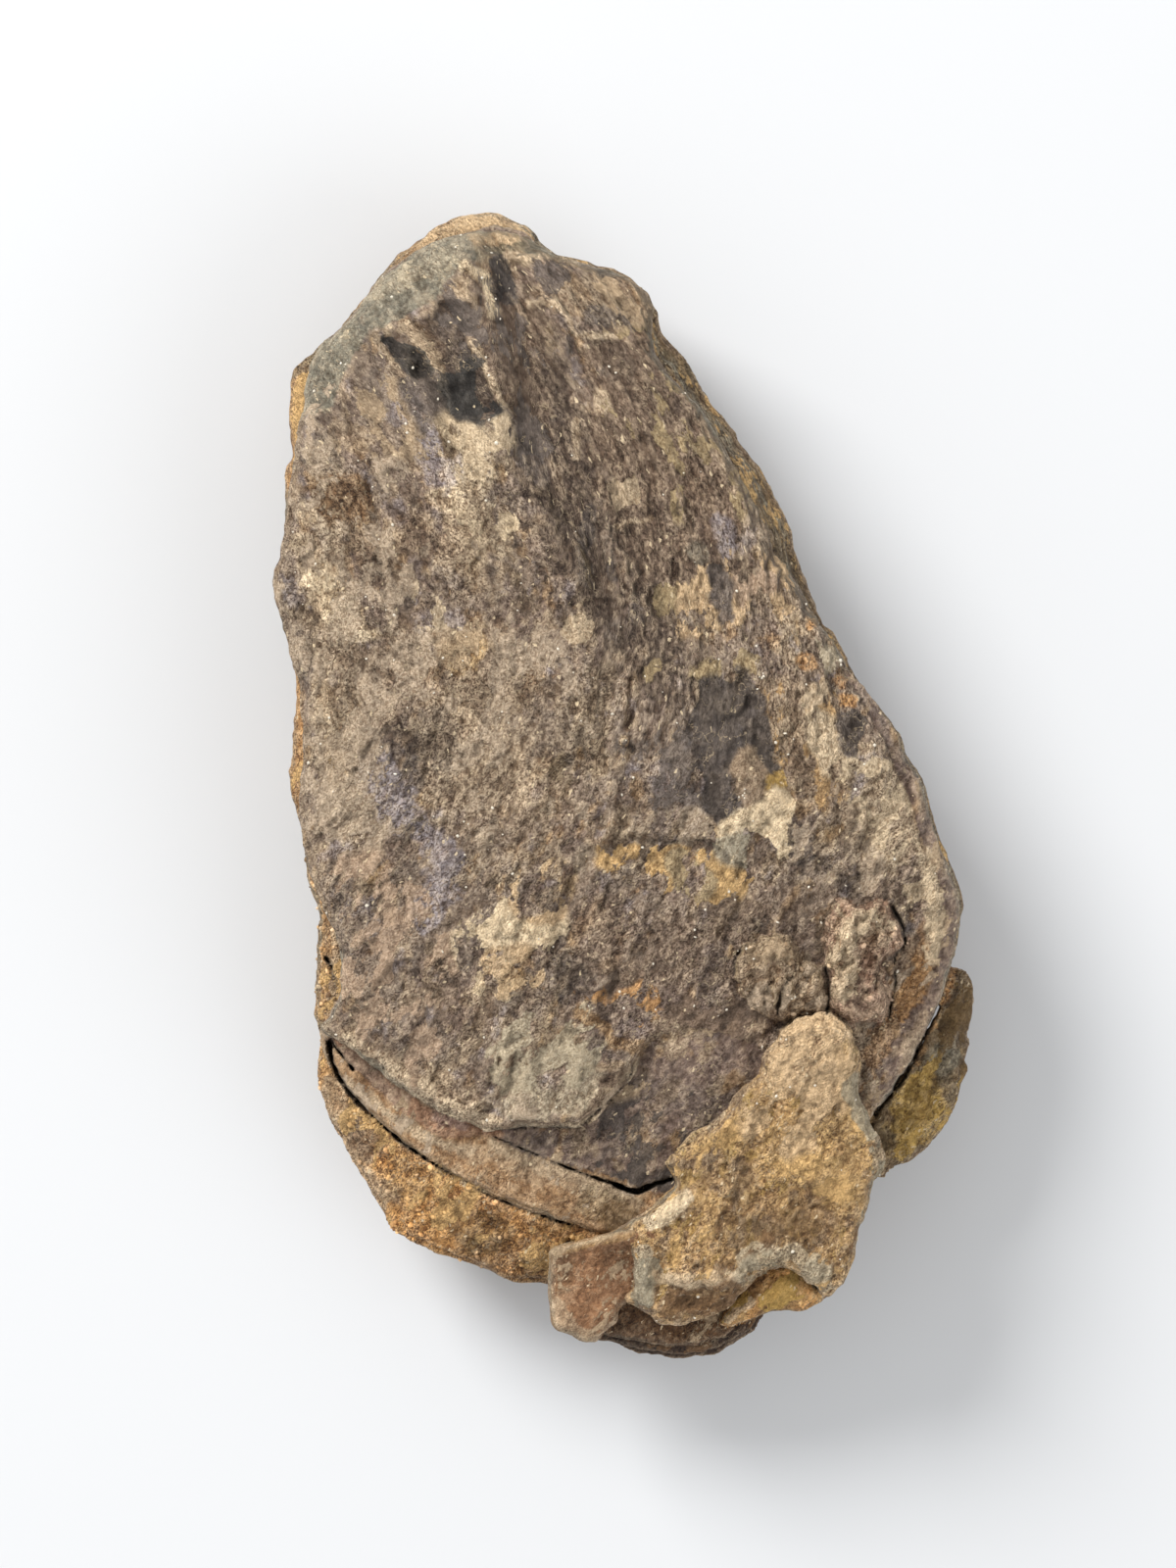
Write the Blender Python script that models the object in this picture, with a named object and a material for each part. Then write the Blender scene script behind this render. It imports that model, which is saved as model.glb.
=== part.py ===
"""A palm-sized stone of layered shale, weathered and partly split along its bedding.

The stone formed as one piece, so it is one closed solid. It lies on its flat underside, with its
narrow end towards +Y and the layered, flaking end towards -Y. Its leaves are modelled one by one,
as they lie in the rock, and are then grown together into a single skin.
Blender units are metres. Every size below is in millimetres.
"""

import bmesh
import bpy

MM = 0.001

# Heights above the surface that the stone rests on.
CREST = 19.4  # highest point of the domed upper slab
FLAKE_TIP = 18.6  # upper end of the loose leaf that lies over the lower right corner
SLAB_TOP = 12.0  # top of the thick lower slab, seen as a rim all round
WIDEST = 8.0  # where the lower slab is widest
BELOW_CUT = -2.0  # the slab starts under the resting face, and is cut off flat at z = 0

# Undersides of the leaves that stand out from the slabs, each buried in the leaf below it.
UPPER_FLOOR = 9.0
UNDER_LEAF_FLOOR = 7.0
SIDE_LEAF_FLOOR = 8.0
LOOSE_LEAF_FLOOR = 10.5
LUMP_FLOOR = 14.0
LUMP_RISE = 0.9  # how far the two lumps stand above the dome

# The dome of the upper slab: its ridge, and how fast it falls away, per millimetre squared.
RIDGE_AT = -5.0
RIDGE_LEAN = -0.14
DOME_CENTRE = 5.0
RIGHT_FALL = 0.0042
LEFT_FALL = 0.0060
NARROW_END_FALL = 0.0021
BROAD_END_FALL = 0.0035

# The top leaves that have broken off along the lower left.
BROKEN_FROM = -24.6
BROKEN_LEAN = -0.32
BROKEN_MIDDLE = -6.0
BROKEN_WIDTH = 3.0
BROKEN_SLOPE = 0.9

# How finely the skin is grown over the leaves, and how much of it is then kept.
SKIN_STEP = 0.85
KEPT_SHARE = 0.2
CURVE_STEPS = 3  # points on each span of an outline, which rounds its corners
LID_RINGS = 8  # rings of faces that close over each leaf's top

STONE_COLOUR = (0.245, 0.195, 0.150, 1.0)
STONE_ROUGHNESS = 0.9

# Outlines seen from above, clockwise from the narrow tip, as (x, y).
LOWER_SLAB = (
    (-10.0, 43.0), (-7.6, 42.3), (-6.3, 40.7), (-2.0, 39.0), (1.0, 37.6), (2.6, 34.8),
    (5.6, 30.2), (8.7, 25.8), (11.6, 21.5), (12.8, 17.2), (14.2, 13.8), (16.5, 10.0),
    (18.6, 6.6), (21.2, 2.4), (22.8, -1.0), (24.3, -5.4), (25.4, -8.6), (24.8, -12.6),
    (24.0, -16.5), (21.5, -21.5), (18.5, -26.5), (16.5, -33.0), (14.2, -37.2), (9.0, -38.5),
    (3.0, -39.6), (-3.0, -38.6), (-6.5, -37.4), (-11.5, -36.0), (-16.6, -33.9), (-19.7, -29.7),
    (-22.1, -25.0), (-23.1, -21.5), (-23.0, -17.6), (-23.0, -12.5), (-23.2, -9.0),
    (-24.1, -5.2), (-25.1, -0.8), (-25.0, 4.0), (-25.0, 9.6), (-26.3, 15.0), (-25.6, 19.0),
    (-25.2, 25.0), (-25.3, 29.3), (-24.0, 32.2), (-20.5, 35.8), (-17.5, 39.4), (-14.2, 42.0),
    (-12.0, 42.9),
)
UPPER_SLAB = (
    (-9.6, 40.9), (-5.8, 39.8), (-2.0, 38.2), (1.4, 35.2), (2.6, 31.6), (5.3, 28.3),
    (7.6, 24.6), (9.8, 20.0), (11.4, 16.6), (14.4, 12.2), (17.8, 7.0), (20.8, 2.4),
    (22.5, -1.4), (24.0, -5.6), (24.9, -8.8), (24.2, -12.8), (22.9, -16.8), (20.2, -21.8),
    (17.0, -26.5), (11.0, -31.5), (5.0, -32.6), (-2.0, -32.8), (-8.0, -31.0), (-13.0, -28.6),
    (-18.5, -24.6), (-21.8, -20.6), (-22.6, -16.5), (-22.2, -10.0), (-23.3, -5.0),
    (-24.2, 0.0), (-24.2, 6.0), (-24.8, 10.0), (-25.8, 15.0), (-25.0, 20.0), (-24.2, 26.0),
    (-22.8, 30.5), (-19.4, 35.0), (-15.6, 39.2),
)
LOOSE_LEAF = (
    (14.4, -16.9), (11.4, -18.6), (10.0, -21.4), (7.4, -24.6), (4.4, -27.0), (3.3, -29.8),
    (0.4, -32.8), (-5.1, -34.7), (-5.7, -37.4), (-5.1, -40.9), (-1.9, -41.4), (0.4, -38.6),
    (2.8, -40.3), (6.6, -39.5), (9.6, -36.7), (12.6, -36.2), (15.0, -38.1), (16.8, -35.6),
    (17.8, -32.0), (18.8, -29.0), (18.2, -25.2), (17.3, -21.6), (16.9, -18.8),
)
UNDER_LEAF = (
    (-5.4, -38.0), (-4.6, -41.0), (-0.6, -42.0), (4.4, -43.1), (8.6, -41.8), (10.5, -39.5),
    (14.8, -38.4), (16.2, -35.0), (10.0, -30.0), (0.0, -33.0),
)
SIDE_LEAF = (
    (24.2, -13.6), (26.3, -14.3), (26.4, -16.4), (25.9, -19.2), (25.6, -21.6), (24.8, -24.2),
    (22.4, -27.6), (19.2, -29.3), (16.0, -26.0), (19.0, -18.0),
)
LEFT_LUMP = (
    (8.4, -12.8), (10.2, -11.2), (12.6, -11.5), (14.6, -13.6), (14.6, -16.4), (11.4, -17.6),
    (8.8, -15.8),
)
RIGHT_LUMP = (
    (15.2, -9.6), (16.6, -8.7), (19.4, -9.0), (20.4, -11.4), (19.4, -14.2), (19.2, -17.0),
    (16.4, -17.2), (15.2, -14.0),
)

# How the lower slab's side swells and tucks in: (height, share of the outline).
BELLY = ((BELOW_CUT, 0.68), (0.0, 0.78), (2.0, 0.89), (5.0, 0.975), (WIDEST, 1.0), (11.0, 0.99))
STRAIGHT = ((0.0, 1.0),)


def dome(x, y):
    """Height of the upper slab: crowned along a ridge that runs down from the narrow end."""
    ridge = RIDGE_AT + RIDGE_LEAN * y
    side_fall = RIGHT_FALL if x > ridge else LEFT_FALL
    end_fall = BROAD_END_FALL if y < DOME_CENTRE else NARROW_END_FALL
    return CREST - side_fall * (x - ridge) ** 2 - end_fall * (y - DOME_CENTRE) ** 2


def upper_top(x, y):
    """The dome, stepped down where its top leaves have broken off along the lower left."""
    broken_edge = BROKEN_FROM + BROKEN_LEAN * (x - BROKEN_MIDDLE)
    lost = min(max(broken_edge - y, 0.0), BROKEN_WIDTH)
    return dome(x, y) - BROKEN_SLOPE * lost


def lower_top(x, y):
    """The slab's top, falling away to a thin rim round the lower left crescent."""
    outwards = max(-y - 24.0, 0.0)
    return SLAB_TOP - 0.17 * outwards


def loose_top(x, y):
    """The loose leaf drapes from its tip down over the end of the stone."""
    return FLAKE_TIP + 0.21 * (y + 17.0) + 0.03 * (x - 14.0)


def under_top(x, y):
    return 12.2 + 0.10 * (x - 12.0) + 0.15 * (y + 38.0)


def side_top(x, y):
    return 11.2 - 0.10 * (x - 20.0)


def lump_top(x, y):
    return dome(x, y) + LUMP_RISE


def rounded(outline):
    """A closed smooth curve through the outline's points."""
    points = []
    count = len(outline)
    for i in range(count):
        before, start, end, after = (outline[(i + k) % count] for k in (-1, 0, 1, 2))
        for step in range(CURVE_STEPS):
            t = step / CURVE_STEPS
            points.append(tuple(
                0.5 * (2 * b + (c - a) * t + (2 * a - 5 * b + 4 * c - d) * t ** 2
                       + (3 * b - a - 3 * c + d) * t ** 3)
                for a, b, c, d in zip(before, start, end, after)
            ))
    return points


def middle(points):
    return tuple(sum(values) / len(points) for values in zip(*points))


def add_leaf(mesh, outline, floor, top, sides=STRAIGHT):
    """Adds one closed leaf: its side rings from the floor up, then rings that close over its top."""
    points = rounded(outline)
    centre = middle(points)

    def ring(share, height):
        made = []
        for x, y in points:
            x, y = (c + (p - c) * share for p, c in zip((x, y), centre))
            z = height(x, y) if callable(height) else height
            made.append(mesh.verts.new((x * MM, y * MM, z * MM)))
        return made

    levels = [ring(share, floor + rise) for rise, share in sides]
    levels += [ring(1 - k / LID_RINGS, top) for k in range(LID_RINGS)]
    for lower, upper in zip(levels, levels[1:]):
        for i in range(len(points)):
            j = (i + 1) % len(points)
            mesh.faces.new((lower[i], lower[j], upper[j], upper[i]))
    peak = mesh.verts.new((centre[0] * MM, centre[1] * MM, top(*centre) * MM))
    for i in range(len(points)):
        mesh.faces.new((levels[-1][i], levels[-1][(i + 1) % len(points)], peak))
    mesh.faces.new(levels[0])


def stone_material():
    material = bpy.data.materials.new("weathered shale")
    material.use_nodes = True
    shader = material.node_tree.nodes["Principled BSDF"]
    shader.inputs["Base Color"].default_value = STONE_COLOUR
    shader.inputs["Roughness"].default_value = STONE_ROUGHNESS
    shader.inputs["Metallic"].default_value = 0.0
    return material


def resting_plane_cutter():
    """A hidden box under z = 0 that cuts the stone's flat resting face."""
    half, depth = 60 * MM, 20 * MM
    mesh = bmesh.new()
    bmesh.ops.create_cube(mesh, size=1.0)
    bmesh.ops.scale(mesh, vec=(2 * half, 2 * half, depth), verts=mesh.verts)
    bmesh.ops.translate(mesh, vec=(0, 0, -depth / 2), verts=mesh.verts)
    data = bpy.data.meshes.new("resting plane cutter")
    mesh.to_mesh(data)
    mesh.free()
    cutter = bpy.data.objects.new("resting_plane_cutter", data)
    cutter.hide_render = True
    cutter.display_type = "WIRE"
    bpy.context.scene.collection.objects.link(cutter)
    return cutter


def grow_together(stone):
    """One skin over all the leaves, thinned to its main facets and cut flat where it rests."""
    skin = stone.modifiers.new("one skin", "REMESH")
    skin.mode = "VOXEL"
    skin.voxel_size = SKIN_STEP * MM
    facets = stone.modifiers.new("facets", "DECIMATE")
    facets.ratio = KEPT_SHARE
    flat = stone.modifiers.new("flat base", "BOOLEAN")
    flat.operation = "DIFFERENCE"
    flat.object = resting_plane_cutter()


def build_stone():
    mesh = bmesh.new()
    add_leaf(mesh, LOWER_SLAB, 0.0, lower_top, BELLY)
    add_leaf(mesh, UPPER_SLAB, UPPER_FLOOR, upper_top)
    add_leaf(mesh, UNDER_LEAF, UNDER_LEAF_FLOOR, under_top)
    add_leaf(mesh, SIDE_LEAF, SIDE_LEAF_FLOOR, side_top)
    add_leaf(mesh, LOOSE_LEAF, LOOSE_LEAF_FLOOR, loose_top)
    for lump in (LEFT_LUMP, RIGHT_LUMP):
        add_leaf(mesh, lump, LUMP_FLOOR, lump_top)
    bmesh.ops.recalc_face_normals(mesh, faces=mesh.faces)
    data = bpy.data.meshes.new("stone")
    mesh.to_mesh(data)
    mesh.free()
    stone = bpy.data.objects.new("stone", data)
    stone.data.materials.append(stone_material())
    bpy.context.scene.collection.objects.link(stone)
    grow_together(stone)


for leftover in list(bpy.data.objects):
    bpy.data.objects.remove(leftover, do_unlink=True)
build_stone()
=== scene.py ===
# %% [markdown]
# # A weathered stone of layered shale
# Shale is mud pressed into thin beds. It splits along them, so this stone is a stack of leaves: a
# thick lower slab, a domed upper slab, and loose leaves over the broad end, all one rock. Seen
# from above it has long smooth outlines with ragged edges, and its sides show the beds as ledges.
# It could be sculpted from one block, but stacking leaves gives true ledges, gaps and overhangs.
# So each leaf is drawn as an outline with a height, all are joined as distances in a fine grid of
# cells, and one skin is grown over them. Grain is then pushed into the skin, and stains painted.

# %% Load the frame, which fixes the size and the place of everything
import itertools
import math

import bpy
import numpy as np
import openvdb
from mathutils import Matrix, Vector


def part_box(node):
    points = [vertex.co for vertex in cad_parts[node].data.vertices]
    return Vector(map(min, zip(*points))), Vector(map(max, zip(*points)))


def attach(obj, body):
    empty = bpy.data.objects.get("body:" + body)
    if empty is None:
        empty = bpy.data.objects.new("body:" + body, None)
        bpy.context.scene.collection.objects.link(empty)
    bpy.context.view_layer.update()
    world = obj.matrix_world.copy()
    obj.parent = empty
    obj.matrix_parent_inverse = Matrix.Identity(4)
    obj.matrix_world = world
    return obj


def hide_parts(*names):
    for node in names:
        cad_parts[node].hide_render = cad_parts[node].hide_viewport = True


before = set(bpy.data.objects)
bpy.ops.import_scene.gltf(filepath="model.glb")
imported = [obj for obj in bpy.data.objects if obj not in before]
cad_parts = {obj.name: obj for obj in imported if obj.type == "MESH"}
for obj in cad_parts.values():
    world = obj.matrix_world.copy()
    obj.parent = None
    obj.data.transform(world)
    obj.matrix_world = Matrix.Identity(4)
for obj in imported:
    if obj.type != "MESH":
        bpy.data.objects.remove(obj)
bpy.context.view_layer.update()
MM = 0.001
cad_low, cad_high = (np.array(corner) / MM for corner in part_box("stone"))
print("the stone's box, in millimetres:", cad_low.round(1), cad_high.round(1))

# %% [markdown]
# ## Noise
# Rock is irregular at every scale, so nearly every step below needs noise. Blender has its own
# for shaders, but shapes are made here in arrays of a million points, so this is gradient noise
# written for whole arrays: a random slope at each corner of a lattice, blended smoothly between.

# %% Gradient noise for whole arrays
rng = np.random.default_rng(7)
SHUFFLE = rng.permutation(256)
SLOPES = rng.normal(size=(256, 3))
SLOPES = (SLOPES / np.linalg.norm(SLOPES, axis=1)[:, None]).astype(np.float32)


def lumps(x, y, z, size, seed):
    """Smooth noise from about -1 to 1, in lumps of this size (one number, or one for each axis)."""
    sizes = np.broadcast_to(size, 3)
    places = np.broadcast_arrays(x / sizes[0], y / sizes[1], z / sizes[2] + 31.7 * seed)
    cells = [np.floor(place).astype(np.int32) for place in places]
    parts = [(place - cell).astype(np.float32) for place, cell in zip(places, cells)]
    fades = [part ** 3 * (part * (part * 6 - 15) + 10) for part in parts]
    total = np.zeros(parts[0].shape, np.float32)
    for corner in itertools.product((0, 1), repeat=3):
        pick = 0
        for cell, side in zip(cells, corner):
            pick = SHUFFLE[(pick + cell + side) & 255]
        weight, slope = 1.0, 0.0
        for axis, side in enumerate(corner):
            weight = weight * (fades[axis] if side else 1 - fades[axis])
            slope = slope + SLOPES[pick, axis] * (parts[axis] - side)
        total += weight * slope
    return 1.6 * total


def rough(x, y, z, size, seed, octaves=3):
    """Noise with finer lumps on its lumps."""
    share = 0.5 ** np.arange(octaves)
    layers = [s * lumps(x, y, z, np.multiply(size, s), seed + 5 * k) for k, s in enumerate(share)]
    return sum(layers) / share.sum()


# %% [markdown]
# ## Outlines and strokes
# Leaves, pits and stains are all drawn the same way: as points on a plan of the stone, joined by
# a smooth curve. What the shapes need from a curve is how far each spot lies from it, because a
# distance makes a wall, a groove, a rounded edge or a soft stain with one formula each.

# %% Curves through points, and distances to them
def smooth(points, closed, steps=4):
    """Points along a smooth curve through these."""
    points = np.array(points, float)
    count = len(points)
    made = []
    for i in range(count if closed else count - 1):
        near = [(i + k) % count if closed else min(max(i + k, 0), count - 1) for k in (-1, 0, 1, 2)]
        a, b, c, d = points[near]
        t = (np.arange(steps) / steps)[:, None]
        made.append(0.5 * (2 * b + (c - a) * t + (2 * a - 5 * b + 4 * c - d) * t ** 2
                           + (3 * b - a - 3 * c + d) * t ** 3))
    return np.concatenate(made if closed else made + [points[-1:]])


def distance(line, x, y, closed):
    """How far each (x, y) lies from a line of points. Inside a closed line it is above zero."""
    x, y = np.broadcast_arrays(x, y)
    px, py = x.ravel().astype(np.float32), y.ravel().astype(np.float32)
    least = np.full(px.shape, 1e6, np.float32)
    inside = np.zeros(px.shape, bool)
    ends = np.roll(line, -1, axis=0) if closed else line[1:]
    for (ax, ay), (bx, by) in zip(line if closed else line[:-1], ends):
        dx, dy = bx - ax, by - ay
        along = np.clip(((px - ax) * dx + (py - ay) * dy) / (dx * dx + dy * dy + 1e-12), 0, 1)
        least = np.minimum(least, (px - ax - along * dx) ** 2 + (py - ay - along * dy) ** 2)
        if closed and dy:
            crosses = (ay > py) != (by > py)
            inside ^= crosses & (px < ax + (py - ay) * dx / dy)
    away = np.sqrt(least)
    return (np.where(inside, away, -away) if closed else away).reshape(x.shape)


def within(outline, x, y):
    """How far in from a smooth closed outline each (x, y) lies. Outside it is below zero."""
    return distance(smooth(outline, closed=True), x, y, closed=True)


def away_from(points, x, y):
    """How far each (x, y) lies from a smooth open line."""
    return distance(smooth(points, closed=False), x, y, closed=False)


def ramp(value, start, end):
    """0 at start and 1 at end, easing in and out. The end may be lower than the start."""
    t = np.clip((value - start) / (end - start), 0, 1)
    return t * t * (3 - 2 * t)


def stroke(x, y, points, width, soft=0.5):
    """1 along a stroke of this width, and 0 beyond its soft edge."""
    away = away_from(points, x, y)
    return ramp(away, width / 2 + soft, max(width / 2 - soft, 0))


def spot(x, y, centre, across, soft=1.0, turn=0.0):
    """1 inside an oval of these two widths, turned by some degrees, and 0 beyond its soft edge."""
    angle = math.radians(turn)
    dx, dy = x - centre[0], y - centre[1]
    u = (dx * math.cos(angle) + dy * math.sin(angle)) / across[0] * 2
    v = (dy * math.cos(angle) - dx * math.sin(angle)) / across[1] * 2
    reach = soft / min(across) * 2
    return ramp(np.hypot(u, v), 1 + reach / 2, max(1 - reach / 2, 0))


# %% [markdown]
# ## The outlines of the leaves
# All are plans in millimetres, with the stone's narrow end up. Where a leaf runs on under the
# next one its outline is hidden, and only has to stay inside the leaf above.

# %% The lower slab, and the rims that the upper beds share
LOWER_SLAB = (
    (-10.0, 43.0), (-12.5, 42.8), (-14.5, 41.9), (-15.4, 41.0), (-17.0, 39.9), (-19.0, 37.6),
    (-21.0, 35.0), (-23.0, 33.1), (-24.7, 31.4), (-25.2, 30.0), (-25.2, 27.0), (-25.0, 24.7),
    (-25.5, 23.4), (-25.6, 18.5), (-26.3, 15.5), (-26.3, 14.5), (-25.7, 12.0), (-25.0, 9.6),
    (-24.7, 6.0), (-25.2, 1.1), (-24.9, -1.2), (-24.2, -3.2), (-23.9, -6.7), (-22.9, -9.8),
    (-23.1, -11.5), (-23.2, -16.5), (-22.9, -18.8), (-23.1, -22.0), (-22.2, -25.0),
    (-20.5, -28.2), (-17.9, -32.7), (-16.7, -33.9), (-15.2, -34.8), (-11.5, -36.1),
    (-8.5, -37.3), (-5.8, -37.5), (-3.0, -38.4), (3.0, -39.4), (9.0, -38.0), (13.0, -36.5),
    (16.4, -33.0), (18.0, -26.5), (21.4, -21.5), (23.6, -16.5), (24.6, -13.2), (25.1, -11.0),
    (25.3, -8.5), (24.4, -6.0), (23.3, -2.8), (22.5, 0.0), (21.2, 2.3), (20.8, 3.4), (19.0, 6.1),
    (17.2, 8.4), (15.9, 11.2), (14.7, 12.6), (13.8, 15.0), (12.8, 17.2), (12.6, 19.0),
    (11.7, 21.0), (10.0, 24.2), (8.7, 25.7), (8.2, 26.7), (6.4, 28.7), (5.2, 31.0), (3.8, 32.9),
    (2.5, 34.7), (2.2, 35.8), (1.2, 37.5), (-1.0, 38.8), (-5.0, 40.0), (-6.3, 40.7),
    (-7.2, 41.9), (-8.6, 42.5),
)
LEFT_RIM = (
    (-9.8, 42.0), (-11.5, 41.4), (-13.4, 41.0), (-16.2, 39.6), (-18.2, 38.0), (-20.4, 35.2),
    (-23.0, 32.6), (-23.8, 30.4), (-24.0, 28.0), (-24.4, 24.6), (-24.9, 22.5), (-25.2, 19.0),
    (-26.0, 15.6), (-26.0, 14.4), (-25.3, 12.0), (-24.7, 9.4), (-24.1, 7.6), (-23.8, 3.5),
    (-24.0, 0.0), (-24.0, -2.6), (-23.6, -5.6), (-22.6, -8.4), (-21.8, -10.4), (-21.2, -12.8),
    (-21.3, -15.6), (-22.1, -17.4), (-22.7, -18.2),
)
RIGHT_RIM = (
    (18.5, -24.4), (20.4, -22.2), (21.9, -19.3), (23.2, -16.7), (24.3, -13.4), (24.8, -11.0),
    (24.9, -8.6), (24.0, -6.0), (22.9, -2.8), (22.1, 0.0), (20.8, 2.3), (20.3, 3.4), (18.6, 6.0),
    (16.7, 8.4), (15.3, 11.0), (14.0, 12.7), (12.6, 15.4), (11.0, 17.2), (10.1, 19.3),
    (8.9, 22.2), (7.3, 25.1), (6.2, 27.3), (4.5, 29.4), (2.8, 31.2), (2.0, 33.0), (1.8, 34.8),
    (1.8, 36.0), (0.8, 37.4), (-1.2, 38.4), (-5.0, 39.6), (-6.6, 40.4), (-7.6, 41.4),
)

# %% The broad ends of the three upper beds
TOP_EDGE = (
    (-20.5, -19.7), (-18.2, -21.5), (-15.0, -23.7), (-12.0, -25.0), (-10.0, -25.8),
    (-8.5, -25.4), (-6.0, -25.4), (-4.0, -25.5), (-2.7, -25.0), (-1.8, -24.0), (-0.5, -22.7),
    (0.4, -21.2), (1.5, -19.4), (4.0, -18.4), (9.0, -19.5), (13.0, -22.0),
)
MIDDLE_EDGE = (
    (-21.7, -20.0), (-20.5, -21.5), (-17.5, -24.2), (-14.5, -26.3), (-12.5, -26.8),
    (-10.2, -26.6), (-7.5, -27.8), (-3.0, -29.1), (0.2, -30.0), (1.2, -30.6), (5.0, -31.0),
    (11.0, -31.0), (16.0, -28.0),
)
CRACK_EDGE = (
    (-22.7, -19.6), (-22.0, -21.3), (-21.0, -22.7), (-18.5, -25.2), (-15.0, -28.0),
    (-11.5, -30.0), (-8.0, -31.7), (-4.0, -33.0), (0.0, -34.0), (6.0, -35.0), (12.0, -33.0),
    (16.0, -28.0),
)
TOP_BED = LEFT_RIM + TOP_EDGE + RIGHT_RIM
MIDDLE_BED = LEFT_RIM + MIDDLE_EDGE + RIGHT_RIM
EDGE_BED = LEFT_RIM + CRACK_EDGE + RIGHT_RIM
print(f"points on the outlines: {len(LOWER_SLAB)} on the lower slab, {len(TOP_BED)} on the top bed")

# %% The loose leaf, the foot, the side leaf, the lumps and the knob
LOOSE_LEAF = (
    (14.9, -16.8), (13.8, -17.1), (12.8, -17.4), (11.6, -18.2), (11.2, -19.0), (10.4, -19.8),
    (10.0, -21.5), (9.2, -22.5), (7.4, -24.6), (6.6, -25.4), (4.9, -26.4), (3.2, -27.9),
    (3.1, -28.3), (3.5, -29.0), (3.6, -30.0), (1.5, -32.0), (-0.2, -33.0), (-1.0, -33.6),
    (0.2, -34.4), (0.8, -35.4), (0.7, -37.2), (0.1, -38.5), (1.0, -39.1), (1.9, -39.6), (2.9, -40.3),
    (5.5, -40.0), (7.2, -39.2), (8.2, -38.3), (9.1, -37.3), (9.7, -36.6), (10.6, -36.2),
    (12.2, -36.1), (13.2, -36.4), (14.0, -37.3), (15.0, -38.2), (16.0, -37.5), (16.9, -35.5),
    (17.1, -34.0), (17.6, -32.5), (18.3, -30.0), (18.9, -28.6), (19.0, -26.8), (18.1, -25.4),
    (17.8, -24.5), (17.2, -22.5), (17.3, -20.5), (16.9, -18.8), (16.2, -17.8), (15.5, -17.2),
)
FOOT = (
    (-5.3, -34.8), (-5.5, -35.5), (-5.6, -37.0), (-5.7, -38.5), (-5.4, -40.2), (-5.0, -40.9),
    (-4.0, -41.2), (-3.0, -41.7), (-2.0, -41.4), (-0.8, -40.2), (-0.4, -39.2), (1.0, -38.0),
    (3.0, -36.0), (3.0, -33.0), (0.0, -33.1), (-2.0, -33.8), (-3.5, -34.2),
)
SIDE_LEAF = (
    (24.9, -13.7), (25.9, -14.0), (26.5, -15.2), (26.1, -17.5), (25.8, -19.5), (25.3, -20.7),
    (25.6, -21.2), (25.0, -22.8), (24.7, -24.2), (23.2, -26.8), (22.1, -27.8), (20.0, -28.8),
    (18.8, -29.3), (15.0, -27.0), (18.0, -20.0), (22.0, -14.0),
)
LEFT_LUMP = (
    (8.0, -13.2), (8.8, -12.0), (9.9, -11.0), (11.4, -10.8), (12.6, -11.8), (13.3, -13.2),
    (14.6, -13.5), (15.0, -15.0), (14.8, -16.9), (13.0, -17.2), (11.4, -17.5), (9.8, -16.6),
    (8.8, -15.6),
)
RIGHT_LUMP = (
    (14.8, -11.0), (15.1, -9.6), (15.6, -8.7), (16.4, -8.4), (17.3, -8.8), (18.6, -8.5),
    (19.8, -8.8), (20.2, -9.8), (20.8, -11.8), (19.6, -12.4), (19.1, -13.8), (19.6, -15.3),
    (19.5, -17.3), (17.4, -17.6), (15.8, -16.9), (15.2, -15.4), (14.9, -13.4),
)
KNOB = (
    (7.1, -40.3), (8.0, -38.9), (9.0, -37.6), (9.9, -36.5), (11.1, -35.8), (12.6, -36.0),
    (13.8, -37.0), (14.9, -38.2), (14.2, -39.0), (13.0, -39.3), (11.1, -39.4), (9.6, -39.9),
    (8.2, -40.5),
)

# %% The crumbled crescent, and the three leaves under the broad end
CRESCENT_AREA = (
    (-23.4, -17.6), (-22.6, -19.6), (-21.0, -22.7), (-18.5, -25.2), (-15.0, -28.0), (-11.5, -30.0),
    (-8.0, -31.7), (-4.0, -33.0), (2.0, -34.0), (4.0, -40.0), (-12.0, -40.0), (-24.0, -32.0),
    (-26.0, -20.0),
)
UNDER_LEAVES = (
    ((-4.6, -39.0), (-1.8, -41.1), (0.5, -41.5), (4.0, -42.0), (7.4, -41.2), (9.2, -39.8),
     (14.0, -38.6), (15.0, -36.0), (6.0, -34.0)),
    ((-4.2, -40.0), (-1.5, -41.6), (1.5, -42.3), (4.5, -42.6), (7.2, -42.0), (9.2, -40.8),
     (10.6, -39.3), (14.3, -38.9), (15.6, -36.0), (6.0, -34.0)),
    ((-3.8, -40.6), (-1.5, -41.7), (1.5, -42.7), (4.5, -43.1), (7.0, -42.6), (9.5, -41.0),
     (10.8, -39.4), (13.6, -39.2), (15.0, -36.0), (6.0, -34.0)),
)

# %% [markdown]
# ## How high each leaf lies
# The upper slab is a low dome with a ridge that runs down from the narrow end. On the dome lie
# the things that catch the light: a step to the right of the ridge, two pits under the narrow
# end, a long bevel at the upper left and shallow hollows. Each is one stroke, oval or outline.

# %% The dome
SWELL_ROOM = 0.7  # flakes and swells are added above the dome, so it stays this far below the top
CREST = cad_high[2] - SWELL_ROOM
RIDGE_AT = -5.0
RIDGE_LEAN = -0.14
DOME_CENTRE = 5.0
RIGHT_FALL = 0.0042
LEFT_FALL = 0.0060
NARROW_END_FALL = 0.0021
BROAD_END_FALL = 0.0035


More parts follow.
